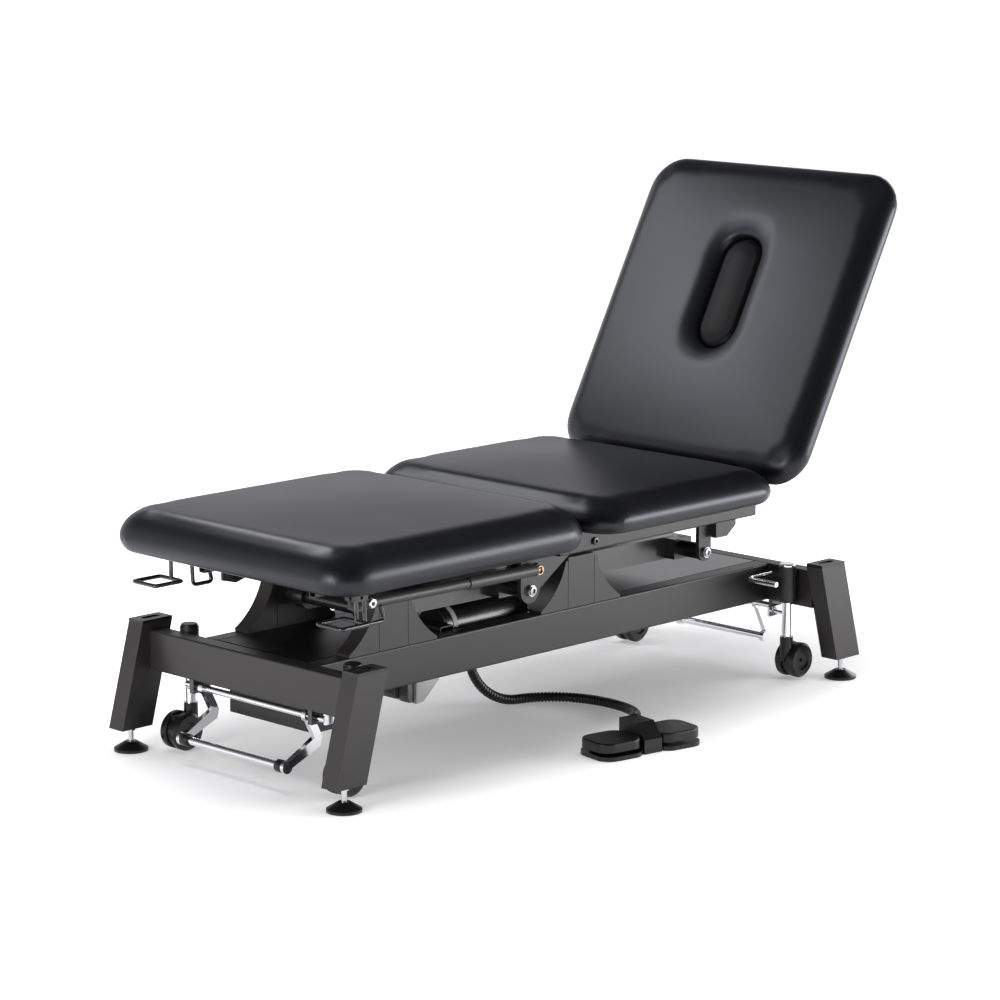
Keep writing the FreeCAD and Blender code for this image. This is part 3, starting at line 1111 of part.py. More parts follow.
def back_section():
    """The back frame, cushion and face-hole plug, drawn flat and then raised about the hinge."""
    bars = []
    for side, hand in SIDES:
        bars.append(tube(f"back_bar_{side}", "x", "back_bar_width", "back_bar_height", "tube_wall",
                         "back_bar_length", "back_bar_length / 2", f"{hand} * back_bar_row",
                         "back_floor - back_bar_height / 2"))
        bars.append(cylinder(f"back_hub_{side}", "back_hub_dia", "back_bar_width", 0,
                             f"{hand} * back_bar_row - back_bar_width / 2", 0, "y"))
    ties = [tube(f"back_tie_{tag}", "y", "back_tie_depth", "back_tie_depth", "tube_wall",
                 "2 * back_bar_row - back_bar_width", place, 0, "back_floor - back_tie_depth / 2")
            for tag, place in (("low", "back_tie_low"), ("high", "back_bar_length - back_tie_depth"))]
    shaft = cylinder("back_shaft", "back_shaft_dia", "seat_bar_spread", 0, "-seat_bar_spread / 2", 0, "y")
    levers = [back_lever(side, hand) for side, hand in SIDES]
    frame = join("back_frame", *bars, *ties, shaft, *levers)
    pad_item = doc.addObject("Part::Feature", "back_cushion")
    pad_item.Shape = back_cushion_solid()
    plug = doc.addObject("Part::Feature", "face_plug")
    plug.Shape = plug_solid()
    for item in (frame, pad_item, plug):
        turned(item, "back_angle")
        put(item, "back_hinge_place", 0, "back_hinge_height")
    return [frame, pad_item, plug]


def back_lever(side, hand):
    """A slotted lever under the back hinge that takes the push of the gas spring."""
    row = "(strut_eye_width / 2 + part_gap + lever_thick / 2)"
    return slotted_lever(f"back_lever_{side}", "back_lever_width", "back_lever_tip", "back_lever_drop",
                         "back_lever_reach", "back_slot_width", "(strut_pin_dia / 2 + back_slot_play / 2)",
                         "back_lag_angle", (0, f"{hand} * {row}", 0))


def stadium(length, width, depth, x, z):
    """A block with round ends, centred at x."""
    straight = length - width
    block = Part.makeBox(straight, width, depth, Vector(x - straight / 2, -width / 2, z))
    ends = [Part.makeCylinder(width / 2, depth, Vector(x + i * straight / 2, 0, z)) for i in (-1, 1)]
    return block.fuse(ends).removeSplitter()


def back_cushion_solid():
    """The back cushion with its long face hole, whose rim is rolled in from the front."""
    solid = cushion_solid(size("back_length"), size("back_thick"), size("back_corner"))
    solid.translate(Vector(size("back_gap"), 0, size("back_floor")))
    top = size("back_floor") + size("back_thick")
    hole = stadium(size("face_hole_length"), size("face_hole_width"),
                   size("back_thick") + 2 * size("overrun"), size("face_hole_place"),
                   size("back_floor") - size("overrun"))
    rim = size("face_rim")
    flare = stadium(size("face_hole_length") + rim, size("face_hole_width") + rim, rim,
                    size("face_hole_place"), top - rim)
    low_edges = [edge for edge in flare.Edges if edge.BoundBox.ZMax < top - rim / 2]
    flare = flare.makeChamfer(rim / 2 - size("part_gap"), low_edges)
    return solid.cut(hole).cut(flare)


def plug_solid():
    """The padded plug that closes the face hole, sunk a little below the front."""
    gap = 2 * size("plug_gap")
    top = size("back_floor") + size("back_thick") - size("plug_sink")
    plug = stadium(size("face_hole_length") - gap, size("face_hole_width") - gap, size("plug_depth"),
                   size("face_hole_place"), top - size("plug_depth"))
    high_edges = [edge for edge in plug.Edges if edge.BoundBox.ZMin > top - size("plug_gap")]
    return plug.makeFillet(size("plug_round"), high_edges)


def foot_switch():
    """A floor switch: a base plate with a raised bridge between two rocking pads, and its hose."""
    waist = box("switch_waist_plate", "bridge_length + switch_pad_length", "switch_waist", "switch_plate",
                "-(bridge_length + switch_pad_length) / 2", "-switch_waist / 2", 0)
    lobes = []
    for tag, way in (("low", -1), ("high", 1)):
        start = "bridge_length / 2" if way > 0 else "-bridge_length / 2 - switch_pad_length"
        lobe = box(f"switch_lobe_{tag}_block", "switch_pad_length", "switch_width", "switch_plate", start,
                   "-switch_width / 2", 0)
        lobes.append(rounded(f"switch_lobe_{tag}", lobe, size("switch_round"), runs_along("z")))
    bridge_outline = (("-bridge_width / 2", 0), ("bridge_width / 2", 0),
                      ("bridge_width / 2", "bridge_height"), ("-bridge_shelf", "bridge_height"),
                      ("-bridge_width / 2", "bridge_sill"))
    body = new_body("switch_bridge")
    pad(body, polygon(new_sketch(body, "switch_bridge_outline", "YZ_Plane"), bridge_outline), "bridge_length")
    spines = []
    for tag, way in (("low", -1), ("high", 1)):
        length = "(switch_pad_length - switch_round)"
        start = "bridge_length / 2" if way > 0 else f"-bridge_length / 2 - {length}"
        spines.append(cylinder(f"switch_spine_{tag}", "switch_spine", length, start,
                               "switch_pad_width / 2 - switch_spine",
                               "switch_plate + switch_spine / 2 - part_gap", "x"))
    housing = join("foot_switch_base", waist, *lobes, body, *spines)
    nodes = [housing]
    for tag, way in (("low", -1), ("high", 1)):
        start = "(bridge_length / 2 + part_gap)"
        start = start if way > 0 else f"-{start} - switch_pad_length"
        block = box(f"switch_pad_{tag}_block", "switch_pad_length", "switch_pad_width", "switch_pad_height",
                    start, "-switch_pad_width / 2", "switch_plate + switch_spine")
        corners = rounded(f"switch_pad_{tag}_corners", block, size("switch_round"), runs_along("z"))
        top = size("switch_plate") + size("switch_spine") + size("switch_pad_height")
        nodes.append(rounded(f"foot_switch_pad_{tag}", corners, size("switch_edge"),
                             lambda edge: edge.BoundBox.ZMin > top - size("part_gap")))
    for node in nodes:
        put(node, "switch_x", "switch_y", 0)
        turned(node, "0", "switch_turn_angle")
    return nodes + [hose()]


def hose():
    """The ribbed hose of the foot switch, from its gland under the tray to the bridge."""
    points = [Vector(*point) for point in HOSE_ROUTE]
    edges = []
    tangents = []
    previous = points[0]
    for i in range(1, len(points) - 1):
        before, after = points[i - 1] - points[i], points[i + 1] - points[i]
        half = (math.pi - before.getAngle(after)) / 2
        reach = BEND_SHARE * min(before.Length, after.Length)
        radius = reach / math.tan(half)
        tangents.append(radius)
        into, out = before.normalize(), after.normalize()
        start, stop = points[i] + into * reach, points[i] + out * reach
        middle = points[i] + (into + out).normalize() * (radius / math.cos(half) - radius)
        edges += [Part.LineSegment(previous, start).toShape(), Part.Arc(start, middle, stop).toShape()]
        previous = stop
    edges.append(Part.LineSegment(previous, points[-1]).toShape())
    wire = Part.Wire(edges)
    print("hose length", round(wire.Length, 1), "bend radii", [round(radius) for radius in tangents])
    core = swept(wire, size("hose_bore") / 2)
    shell = ribbed_tube(wire)
    item = doc.addObject("Part::Feature", "foot_switch_hose")
    item.Shape = shell.cut(core)
    print("hose volume", round(item.Shape.Volume), "core", round(core.Volume))
    return item


def ribbed_tube(wire):
    """A ruled loft through four circles for each rib, with plain ends one diameter long."""
    dia, groove = size("hose_dia"), size("hose_groove")
    radii = (dia / 2, dia / 2, dia / 2 - groove, dia / 2 - groove)
    pitch = (wire.Length - 2 * dia) / RIB_COUNT
    stations = [(0, dia / 2)]
    stations += [(dia + (rib + share) * pitch, radius) for rib in range(RIB_COUNT)
                 for share, radius in zip(RIB_SHARES, radii)]
    stations += [(wire.Length - dia, dia / 2), (wire.Length, dia / 2)]
    rings = []
    starts = [0]
    for edge in wire.Edges:
        starts.append(starts[-1] + edge.Length)
    for distance, radius in stations:
        index = max(i for i in range(len(wire.Edges)) if starts[i] <= distance + 1e-6)
        edge = wire.Edges[index]
        parameter = edge.getParameterByLength(min(distance - starts[index], edge.Length))
        centre, way = edge.valueAt(parameter), edge.tangentAt(parameter)
        across = way.cross(Vector(0, 0, 1)) if abs(way.z) < 0.99 else Vector(0, -1, 0)
        turn = Rotation(across, Vector(0, 0, 0), way, "ZXY")
        ring = Part.Circle(Vector(), Vector(0, 0, 1), radius).toShape()
        ring.Placement = Placement(centre, turn)
        rings.append(Part.Wire([ring]))
    return Part.makeLoft(rings, True, True)


fill_sheets()
nodes = base_frame() + lift_posts() + covers_and_boxes() + levelling_feet() + castors() + castor_pedals()
nodes += lift_arms() + lift_motor() + seat_section() + leg_section() + back_section() + foot_switch()
doc.recompute()

failed = [item.Name for item in doc.Objects if "Invalid" in item.State or "Error" in item.State]
failed += [node.Label for node in nodes if node.Shape.isNull() or not node.Shape.isValid()]
if failed:
    raise RuntimeError("not built: " + ", ".join(failed))
os.makedirs("parts", exist_ok=True)
for node in nodes:
    node.Shape.exportStep(f"parts/{node.Label}.step")
print(len(nodes), "nodes")
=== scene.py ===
# %% [markdown]
# # A treatment couch, dressed
#
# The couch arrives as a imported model: every tube, plate and joint already stands where it belongs.
# This lesson gives it a camera, soft studio light, padded cushions, a ribbed hose and its finishes.

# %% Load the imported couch
import json
import math

import bmesh
import bpy
from mathutils import Matrix, Vector


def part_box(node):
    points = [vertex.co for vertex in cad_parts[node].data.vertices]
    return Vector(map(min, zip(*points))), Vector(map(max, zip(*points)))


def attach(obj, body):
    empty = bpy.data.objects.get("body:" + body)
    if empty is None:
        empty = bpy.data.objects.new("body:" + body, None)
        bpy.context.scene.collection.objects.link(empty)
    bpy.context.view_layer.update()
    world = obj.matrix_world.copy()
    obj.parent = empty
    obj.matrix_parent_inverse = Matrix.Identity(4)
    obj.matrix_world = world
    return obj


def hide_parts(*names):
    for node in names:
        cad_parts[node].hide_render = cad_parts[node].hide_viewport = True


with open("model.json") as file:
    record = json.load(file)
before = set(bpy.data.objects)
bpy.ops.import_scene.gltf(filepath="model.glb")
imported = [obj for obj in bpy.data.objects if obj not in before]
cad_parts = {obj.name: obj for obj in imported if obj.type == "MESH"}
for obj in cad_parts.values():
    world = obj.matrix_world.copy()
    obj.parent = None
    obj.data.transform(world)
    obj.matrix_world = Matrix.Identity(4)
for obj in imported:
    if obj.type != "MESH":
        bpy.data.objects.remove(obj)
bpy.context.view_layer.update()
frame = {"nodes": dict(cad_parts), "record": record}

nodes = frame["nodes"]

# %% [markdown]
# ## The camera
#
# The real picture was taken with a long lens from about five metres away on each axis, at about the
# eye height of someone standing. A long lens keeps the rails almost parallel. A camera could be
# aimed by eye, but this one was fitted to the straight edges of the frame, so its place and its turn
# are written down here as plain numbers.

# %% Camera
FLOOR_HALF = 30
camera_data = bpy.data.cameras.new("couch_camera")
camera_data.sensor_width, camera_data.lens = 36, 123.2
camera = bpy.data.objects.new("couch_camera", camera_data)
bpy.context.scene.collection.objects.link(camera)
yaw, pitch = math.radians(44.6593), math.radians(-10.9348)
looking = Vector((math.cos(pitch) * math.cos(yaw), math.cos(pitch) * math.sin(yaw), math.sin(pitch)))
camera.location = (-5.1534, -5.0914, 1.8705)
camera.rotation_mode = "QUATERNION"
camera.rotation_quaternion = looking.to_track_quat("-Z", "Y")
camera_data.clip_end = 2 * FLOOR_HALF
bpy.context.scene.camera = camera
print("camera looks along", tuple(round(v, 3) for v in looking))

# %% [markdown]
# ## Studio: floor, sky and lamps
#
# The couch stands on a white sweep. The floor adds a little glow for the rays that the camera sees:
# weak in a long oval under the couch, which paints a soft shadow there on top of the lamps' own
# shadow, and stronger further out, where the picture is white. The sky is white to the camera. For
# everything else it is white at the horizon, dark above and dark behind the camera, as in a studio,
# so that a level cushion top picks up a grey sheen while the corner that faces the camera stays black.

# %% Floor and sky
def new_material(name):
    material = bpy.data.materials.new(name)
    material.use_nodes = True
    return material, material.node_tree.nodes, material.node_tree.links


def camera_or_glossy(node_tree):
    """A mask that is one for rays from the camera, from a mirror or through glass."""
    path = node_tree.nodes.new("ShaderNodeLightPath")
    mask = path.outputs["Is Camera Ray"]
    for name in ("Is Glossy Ray", "Is Transmission Ray"):
        widest = node_tree.nodes.new("ShaderNodeMath")
        widest.operation = "MAXIMUM"
        node_tree.links.new(mask, widest.inputs[0])
        node_tree.links.new(path.outputs[name], widest.inputs[1])
        mask = widest.outputs[0]
    return mask


# The glow grows with a stretched distance from under the couch, so the dim oval there is painted shadow.
FLOOR_GAP, SHADOW_OVAL_STRETCH = 0.0005, (0.75, 1.5, 0)
FLOOR_GLOW_AND_PAINTED_SHADOW = (("From Min", 0.42), ("From Max", 1.7), ("To Min", 0.20), ("To Max", 0.95))
floor_mesh = bpy.data.meshes.new("studio_floor")
corners = [(x * FLOOR_HALF, y * FLOOR_HALF, 0) for x, y in ((-1, -1), (1, -1), (1, 1), (-1, 1))]
floor_mesh.from_pydata(corners, [], [(0, 1, 2, 3)])
floor = bpy.data.objects.new("studio_floor", floor_mesh)
bpy.context.scene.collection.objects.link(floor)
floor.location.z = -FLOOR_GAP

floor_finish, shader_nodes, shader_links = new_material("white_sweep")
paper = shader_nodes["Principled BSDF"]
paper.inputs["Base Color"].default_value = (0.86, 0.86, 0.87, 1)
paper.inputs["Roughness"].default_value = 0.9
paper.inputs["Specular IOR Level"].default_value = 0.0
paper.inputs["Emission Color"].default_value = (1, 1, 1, 1)
place = shader_nodes.new("ShaderNodeTexCoord")
along = shader_nodes.new("ShaderNodeVectorMath")
along.operation = "MULTIPLY"
along.inputs[1].default_value = SHADOW_OVAL_STRETCH
away = shader_nodes.new("ShaderNodeVectorMath")
away.operation = "LENGTH"
rise = shader_nodes.new("ShaderNodeMapRange")
rise.interpolation_type = "SMOOTHSTEP"
for socket, value in FLOOR_GLOW_AND_PAINTED_SHADOW:
    rise.inputs[socket].default_value = value
glow = shader_nodes.new("ShaderNodeMath")
glow.operation = "MULTIPLY"
shader_links.new(place.outputs["Object"], along.inputs[0])
shader_links.new(along.outputs[0], away.inputs[0])
shader_links.new(away.outputs["Value"], rise.inputs["Value"])
shader_links.new(rise.outputs["Result"], glow.inputs[1])
shader_links.new(camera_or_glossy(floor_finish.node_tree), glow.inputs[0])
shader_links.new(glow.outputs[0], paper.inputs["Emission Strength"])
floor_mesh.materials.append(floor_finish)

sky = bpy.data.worlds.new("studio_sky")
bpy.context.scene.world = sky
sky.use_nodes = True
sky_nodes, sky_links = sky.node_tree.nodes, sky.node_tree.links
sky_nodes.clear()
coordinate = sky_nodes.new("ShaderNodeTexCoord")
split = sky_nodes.new("ShaderNodeSeparateXYZ")
ramp = sky_nodes.new("ShaderNodeValToRGB")
SKY_STEPS = ((0.0, 1.0), (0.22, 0.80), (0.46, 0.26), (0.70, 0.05), (0.95, 0.05))
SKY_BLUE = 1.04
SKY_SHADE = (("From Min", 0.15), ("From Max", 0.80), ("To Min", 1.0), ("To Max", 0.10))
while len(ramp.color_ramp.elements) < len(SKY_STEPS):
    ramp.color_ramp.elements.new(0.5)
for step, (position, grey) in zip(ramp.color_ramp.elements, SKY_STEPS):
    step.position = position
    step.color = (grey, grey, grey * SKY_BLUE, 1)
behind = sky_nodes.new("ShaderNodeVectorMath")
behind.operation = "DOT_PRODUCT"
behind.inputs[1].default_value = (-looking.x, -looking.y, 0)
shade = sky_nodes.new("ShaderNodeMapRange")
shade.interpolation_type = "SMOOTHSTEP"
for socket, value in SKY_SHADE:
    shade.inputs[socket].default_value = value
dimmed = sky_nodes.new("ShaderNodeVectorMath")
dimmed.operation = "SCALE"
white = sky_nodes.new("ShaderNodeMix")
white.data_type = "RGBA"
white.inputs["B"].default_value = (1, 1, 1, 1)
sky_light = sky_nodes.new("ShaderNodeBackground")
sky_out = sky_nodes.new("ShaderNodeOutputWorld")
sky_path = sky_nodes.new("ShaderNodeLightPath")
sky_links.new(coordinate.outputs["Generated"], split.inputs[0])
sky_links.new(split.outputs["Z"], ramp.inputs[0])
sky_links.new(coordinate.outputs["Generated"], behind.inputs[0])
sky_links.new(behind.outputs["Value"], shade.inputs["Value"])
sky_links.new(ramp.outputs[0], dimmed.inputs[0])
sky_links.new(shade.outputs["Result"], dimmed.inputs["Scale"])
sky_links.new(dimmed.outputs[0], white.inputs["A"])
seen = sky_nodes.new("ShaderNodeMath")
seen.operation = "MAXIMUM"
sky_links.new(sky_path.outputs["Is Camera Ray"], seen.inputs[0])
sky_links.new(sky_path.outputs["Is Transmission Ray"], seen.inputs[1])
sky_links.new(seen.outputs[0], white.inputs["Factor"])
sky_links.new(white.outputs["Result"], sky_light.inputs["Color"])
sky_links.new(sky_light.outputs[0], sky_out.inputs[0])
bpy.context.scene.view_settings.view_transform = "Standard"
print("floor and sky ready")

# %% [markdown]
# Softboxes stand round the couch. The overhead one lights the floor and the paint and stays out of
# reflections, so it draws no white patch on the vinyl. The others stand low at the sides: each
# gives one rolled edge its long bright band, and the one behind on the left gives the raised back
# its soft sheen.

# %% Lamps
def softbox(name, place, target, width, height, power):
    lamp = bpy.data.lights.new(name, "AREA")
    lamp.shape = "RECTANGLE"
    lamp.size, lamp.size_y, lamp.energy = width, height, power
    item = bpy.data.objects.new(name, lamp)
    bpy.context.scene.collection.objects.link(item)
    item.location = place
    item.rotation_mode = "QUATERNION"
    item.rotation_quaternion = (Vector(target) - Vector(place)).to_track_quat("-Z", "Y")
    return item


overhead = softbox("overhead_box", (-0.1, -0.2, 3.8), (0, 0, 0.4), 3.6, 2.6, 110)
overhead.visible_glossy = False
softbox("back_left_box", (-0.25, 1.25, 1.85), (0.75, 0, 0.9), 1.1, 0.7, 13)
softbox("left_box", (-3.2, -0.3, 0.75), (-0.6, 0, 0.3), 1.2, 1.1, 48)
softbox("right_box", (2.75, -2.75, 0.68), (0.2, 0, 0.45), 2.6, 1.1, 98)
softbox("head_box", (3.6, 0.6, 1.6), (0.6, 0, 0.6), 1.2, 1.6, 30)
print("five softboxes")

# %% [markdown]
# ## Shared surface effects
#
# Vinyl, powder coat and moulded plastic all have a fine relief and a slow drift in tone. Each
# effect is a node group that is built once; a material places it with its own scale and strength.

# %% Surface effect groups
def new_group(name, inputs, outputs):
    group = bpy.data.node_groups.new(name, "ShaderNodeTree")
    for label, kind, value in inputs:
        socket = group.interface.new_socket(label, in_out="INPUT", socket_type=kind)
        socket.default_value = value
    for label, kind in outputs:
        group.interface.new_socket(label, in_out="OUTPUT", socket_type=kind)
    return group, group.nodes.new("NodeGroupInput"), group.nodes.new("NodeGroupOutput")


def math_node(tree, operation, first, second):
    node = tree.nodes.new("ShaderNodeMath")
    node.operation = operation
    for socket, value in zip(node.inputs, (first, second)):
        if isinstance(value, (int, float)):
            socket.default_value = value
        else:
            tree.links.new(value, socket)
    return node.outputs[0]


def fine_relief_group():
    """Pebbled cells over fine noise: leather grain when coarse, orange peel when fine."""
    group, start, end = new_group(
        "fine_relief",
        [("Scale", "NodeSocketFloat", 900.0), ("Pebble", "NodeSocketFloat", 0.5)],
        [("Height", "NodeSocketFloat")],
    )
    place = group.nodes.new("ShaderNodeTexCoord")
    cells = group.nodes.new("ShaderNodeTexVoronoi")
    cells.feature = "SMOOTH_F1"
    grain = group.nodes.new("ShaderNodeTexNoise")
    grain.inputs["Detail"].default_value = 4
    for texture in (cells, grain):
        group.links.new(place.outputs["Object"], texture.inputs["Vector"])
        group.links.new(start.outputs["Scale"], texture.inputs["Scale"])
    pebble = math_node(group, "MULTIPLY", cells.outputs["Distance"], start.outputs["Pebble"])
    height = math_node(group, "ADD", pebble, grain.outputs["Fac"])
    group.links.new(height, end.inputs["Height"])
    return group


def slow_drift_group():
    """A broad, soft change of tone and gloss, as handling and wiping leave on a large surface."""
    group, start, end = new_group(
        "slow_drift",
        [("Scale", "NodeSocketFloat", 3.0), ("Colour", "NodeSocketColor", (0.5, 0.5, 0.5, 1)),
         ("Lift", "NodeSocketFloat", 0.15), ("Roughness", "NodeSocketFloat", 0.4),
         ("Gloss Change", "NodeSocketFloat", 0.1)],
        [("Colour", "NodeSocketColor"), ("Roughness", "NodeSocketFloat")],
    )
    place = group.nodes.new("ShaderNodeTexCoord")
    clouds = group.nodes.new("ShaderNodeTexNoise")
    clouds.inputs["Detail"].default_value = 3
    group.links.new(place.outputs["Object"], clouds.inputs["Vector"])
    group.links.new(start.outputs["Scale"], clouds.inputs["Scale"])
    centred = math_node(group, "SUBTRACT", clouds.outputs["Fac"], 0.5)
    gain = math_node(group, "ADD", math_node(group, "MULTIPLY", centred, start.outputs["Lift"]), 1.0)
    tint = group.nodes.new("ShaderNodeVectorMath")
    tint.operation = "SCALE"
    group.links.new(start.outputs["Colour"], tint.inputs[0])
    group.links.new(gain, tint.inputs["Scale"])
    group.links.new(tint.outputs[0], end.inputs["Colour"])
    change = math_node(group, "MULTIPLY", centred, start.outputs["Gloss Change"])
    group.links.new(math_node(group, "ADD", start.outputs["Roughness"], change), end.inputs["Roughness"])
    return group


FINE_RELIEF, SLOW_DRIFT = fine_relief_group(), slow_drift_group()
print("effect groups", FINE_RELIEF.name, SLOW_DRIFT.name)

# %% [markdown]
# ## Finishes
#
# One short recipe makes every finish: the drift group feeds colour and roughness, the relief group
# feeds a bump. The values carry the difference between vinyl, powder coat, chrome and plastic.

# %% Finish recipe
COAT_ROUGHNESS = 0.2


def finish(name, colour, roughness, metallic=0.0, drift=(3.0, 0.2, 0.08), relief=(900.0, 0.5, 0.00002),
           coat=0.0, specular=0.5, tint=(1, 1, 1)):
    material, tree_nodes, links = new_material(name)
    shader = tree_nodes["Principled BSDF"]
    plain = {"Metallic": metallic, "Coat Weight": coat, "Coat Roughness": COAT_ROUGHNESS,
             "Specular IOR Level": specular, "Specular Tint": (*tint, 1)}
    for socket, value in plain.items():
        shader.inputs[socket].default_value = value
    tone = tree_nodes.new("ShaderNodeGroup")
    tone.node_tree = SLOW_DRIFT
    values = {"Scale": drift[0], "Colour": (*colour, 1), "Lift": drift[1], "Roughness": roughness,
              "Gloss Change": drift[2]}
    for socket, value in values.items():
        tone.inputs[socket].default_value = value
    links.new(tone.outputs["Colour"], shader.inputs["Base Color"])
    links.new(tone.outputs["Roughness"], shader.inputs["Roughness"])
    skin = tree_nodes.new("ShaderNodeGroup")
    skin.node_tree = FINE_RELIEF
    skin.inputs["Scale"].default_value = relief[0]
    skin.inputs["Pebble"].default_value = relief[1]
    bump = tree_nodes.new("ShaderNodeBump")
    bump.inputs["Strength"].default_value = 1.0
    bump.inputs["Distance"].default_value = relief[2]
    links.new(skin.outputs["Height"], bump.inputs["Height"])
    links.new(bump.outputs["Normal"], shader.inputs["Normal"])
    return material


LEATHER_GRAIN, ORANGE_PEEL = (1100, 0.6, 0.00003), (2200, 0.3, 0.00002)
MOULD_GRAIN, PLATED = (1500, 0.5, 0.00003), (900, 0.2, 0.00001)
VINYL = finish("black_vinyl", (0.0055, 0.0057, 0.0076), 0.35, drift=(2.5, 0.35, 0.10), relief=LEATHER_GRAIN,
               specular=0.4, tint=(0.87, 0.89, 1))
# The plug gets a darker, duller copy of the cushion vinyl: painted shade for the plug sunk in the face hole.
SHADED_PLUG_VINYL = finish("shaded_plug_vinyl", (0.0032, 0.0033, 0.0044), 0.36, drift=(4, 0.3, 0.1), relief=LEATHER_GRAIN,
                    specular=0.09)
PAINT = finish("graphite_paint", (0.0235, 0.0205, 0.0208), 0.38, drift=(4, 0.18, 0.08), relief=ORANGE_PEEL,
               specular=0.4)
COVER_PAINT = finish("cover_paint", (0.014, 0.013, 0.014), 0.25, drift=(4, 0.18, 0.08), relief=ORANGE_PEEL,
                     specular=0.7)
# A darker, duller copy of the cover paint: painted shade for the cover panel under the leg cushion.
SHADED_FOOT_COVER_PAINT = finish("shaded_foot_cover_paint", (0.007, 0.007, 0.0075), 0.34, drift=(4, 0.18, 0.08),
                          relief=ORANGE_PEEL, specular=0.12)
BLACK_PLASTIC = finish("black_plastic", (0.006, 0.006, 0.0066), 0.34, relief=MOULD_GRAIN, specular=0.4)
GLOSS_PLASTIC = finish("gloss_plastic", (0.010, 0.010, 0.011), 0.28, relief=PLATED)
GREY_PLASTIC = finish("grey_plastic", (0.10, 0.10, 0.104), 0.5, relief=MOULD_GRAIN)
HOSE_PLASTIC = finish("hose_plastic", (0.008, 0.008, 0.0088), 0.44, relief=(1200, 0.3, 0.00003))
CHROME = finish("chrome_plate", (0.80, 0.80, 0.82), 0.12, metallic=1.0, drift=(8, 0.08, 0.08),
                relief=(500, 0.1, 0.000004))
ZINC = finish("zinc_plate", (0.58, 0.58, 0.60), 0.26, metallic=1.0, drift=(40, 0.15, 0.12), relief=PLATED)
BOLT_STEEL = finish("bolt_steel", (0.30, 0.30, 0.31), 0.34, metallic=1.0, drift=(40, 0.15, 0.1),
                    relief=PLATED)
BRASS = finish("brass_ring", (0.62, 0.36, 0.20), 0.25, metallic=1.0, drift=(40, 0.2, 0.1), relief=PLATED)
BLACK_STEEL = finish("black_steel", (0.012, 0.012, 0.013), 0.24, drift=(6, 0.2, 0.08), relief=PLATED,
                     coat=0.4)
SATIN = finish("satin_graphite", (0.050, 0.047, 0.047), 0.46, drift=(6, 0.15, 0.08), relief=ORANGE_PEEL)
LIGHT_PLASTIC = finish("light_plastic", (0.42, 0.42, 0.41), 0.5, drift=(8, 0.1, 0.06), relief=MOULD_GRAIN)
TYRE = finish("castor_tread", (0.006, 0.006, 0.0066), 0.36, relief=MOULD_GRAIN, specular=0.4)
print("finishes", len(bpy.data.materials))

# %% [markdown]
# ## Finishes on the frame
#
# Each imported node keeps its exact shape and gets a finish. Where one node is two materials on the
# real couch, such as a plastic foot on a zinc stud, its faces are shared out by where they lie. The
# cover panels are one paint; their foot half gets a darker, duller copy of it as painted shade
# under the leg cushion.

# %% Dress the imported nodes
def dress(node, material):
    mesh = nodes[node].data
    mesh.materials.clear()
    mesh.materials.append(material)
    for face in mesh.polygons:
        face.material_index = 0


def dress_faces(node, material, wanted):
    """Give a second finish to the faces whose middle passes a test."""
    mesh = nodes[node].data
    mesh.materials.append(material)
    place = len(mesh.materials) - 1
    chosen = [face for face in mesh.polygons if wanted(face.center)]
    for face in chosen:
        face.material_index = place
    return len(chosen)


FOOT_DOME_TOP, YOKE_SHOULDER, HANGER_FACE, ARM_FACE = 0.0205, 0.0985, 0.2002, 0.1352
MOTOR_RING, MOTOR_LOW = (-0.2545, -0.2420), 0.25
SLOT_FINISHES = {
    "frame_paint": PAINT, "cover_vinyl": VINYL, "black_plastic": BLACK_PLASTIC, "grey_plastic": GREY_PLASTIC,
    "chrome_steel": CHROME, "dark_steel": BLACK_STEEL, "wheel_rubber": TYRE, "hose_plastic": HOSE_PLASTIC,
}
for part in frame["record"]["subparts"]:
    dress(part["node"], SLOT_FINISHES[part["material_slot"]])
for node in ("cover_panels", "lift_arms_foot", "lift_arms_head", "base_tray"):
    dress(node, COVER_PAINT)
# The foot half of the cover panels takes the darker copy as painted shade.
dress_faces("cover_panels", SHADED_FOOT_COVER_PAINT, lambda p: p.x < 0)
for end in ("foot", "head"):
    for side in ("near", "far"):
        dress_faces(f"levelling_foot_{end}_{side}", ZINC, lambda p: p.z > FOOT_DOME_TOP)
        dress_faces(f"castor_yoke_{end}_{side}", ZINC, lambda p: p.z > YOKE_SHOULDER)
bolts = dress_faces("lift_hangers", ZINC, lambda p: abs(p.y) > HANGER_FACE)
dress("lift_motor", GLOSS_PLASTIC)
dress_faces("lift_motor", LIGHT_PLASTIC,
            lambda p: MOTOR_RING[0] < p.x < MOTOR_RING[1] and p.z > MOTOR_LOW)
for side in ("near", "far"):
    for half in ("guard", "body"):
        dress(f"gas_spring_{half}_{side}", SATIN)
for end in ("foot", "head"):
    dress_faces(f"lift_arms_{end}", BLACK_STEEL, lambda p: abs(p.y) > ARM_FACE)
dress_faces("castor_trim", BLACK_PLASTIC, lambda p: p.x < 0)
print("bolt faces", bolts)

# %% [markdown]
# ## Cushions
#
# A couch cushion is foam on a board with vinyl pulled tight round it. Its sides are full, they draw
# in to the board below, and the top edge rolls over into a very low crown. The shape is a stack of
# rings: each ring is the outline, moved inwards by some distance at some height. All rings have the
# same number of points, at the same directions from one centre, so they can be joined with quads.

# %% Rings of a cushion
RING_POINTS, LONGEST_REACH, REACH_STEPS = 480, 3.0, 36
INSET_CORNER, LEAST_CORNER = 0.6, 0.012


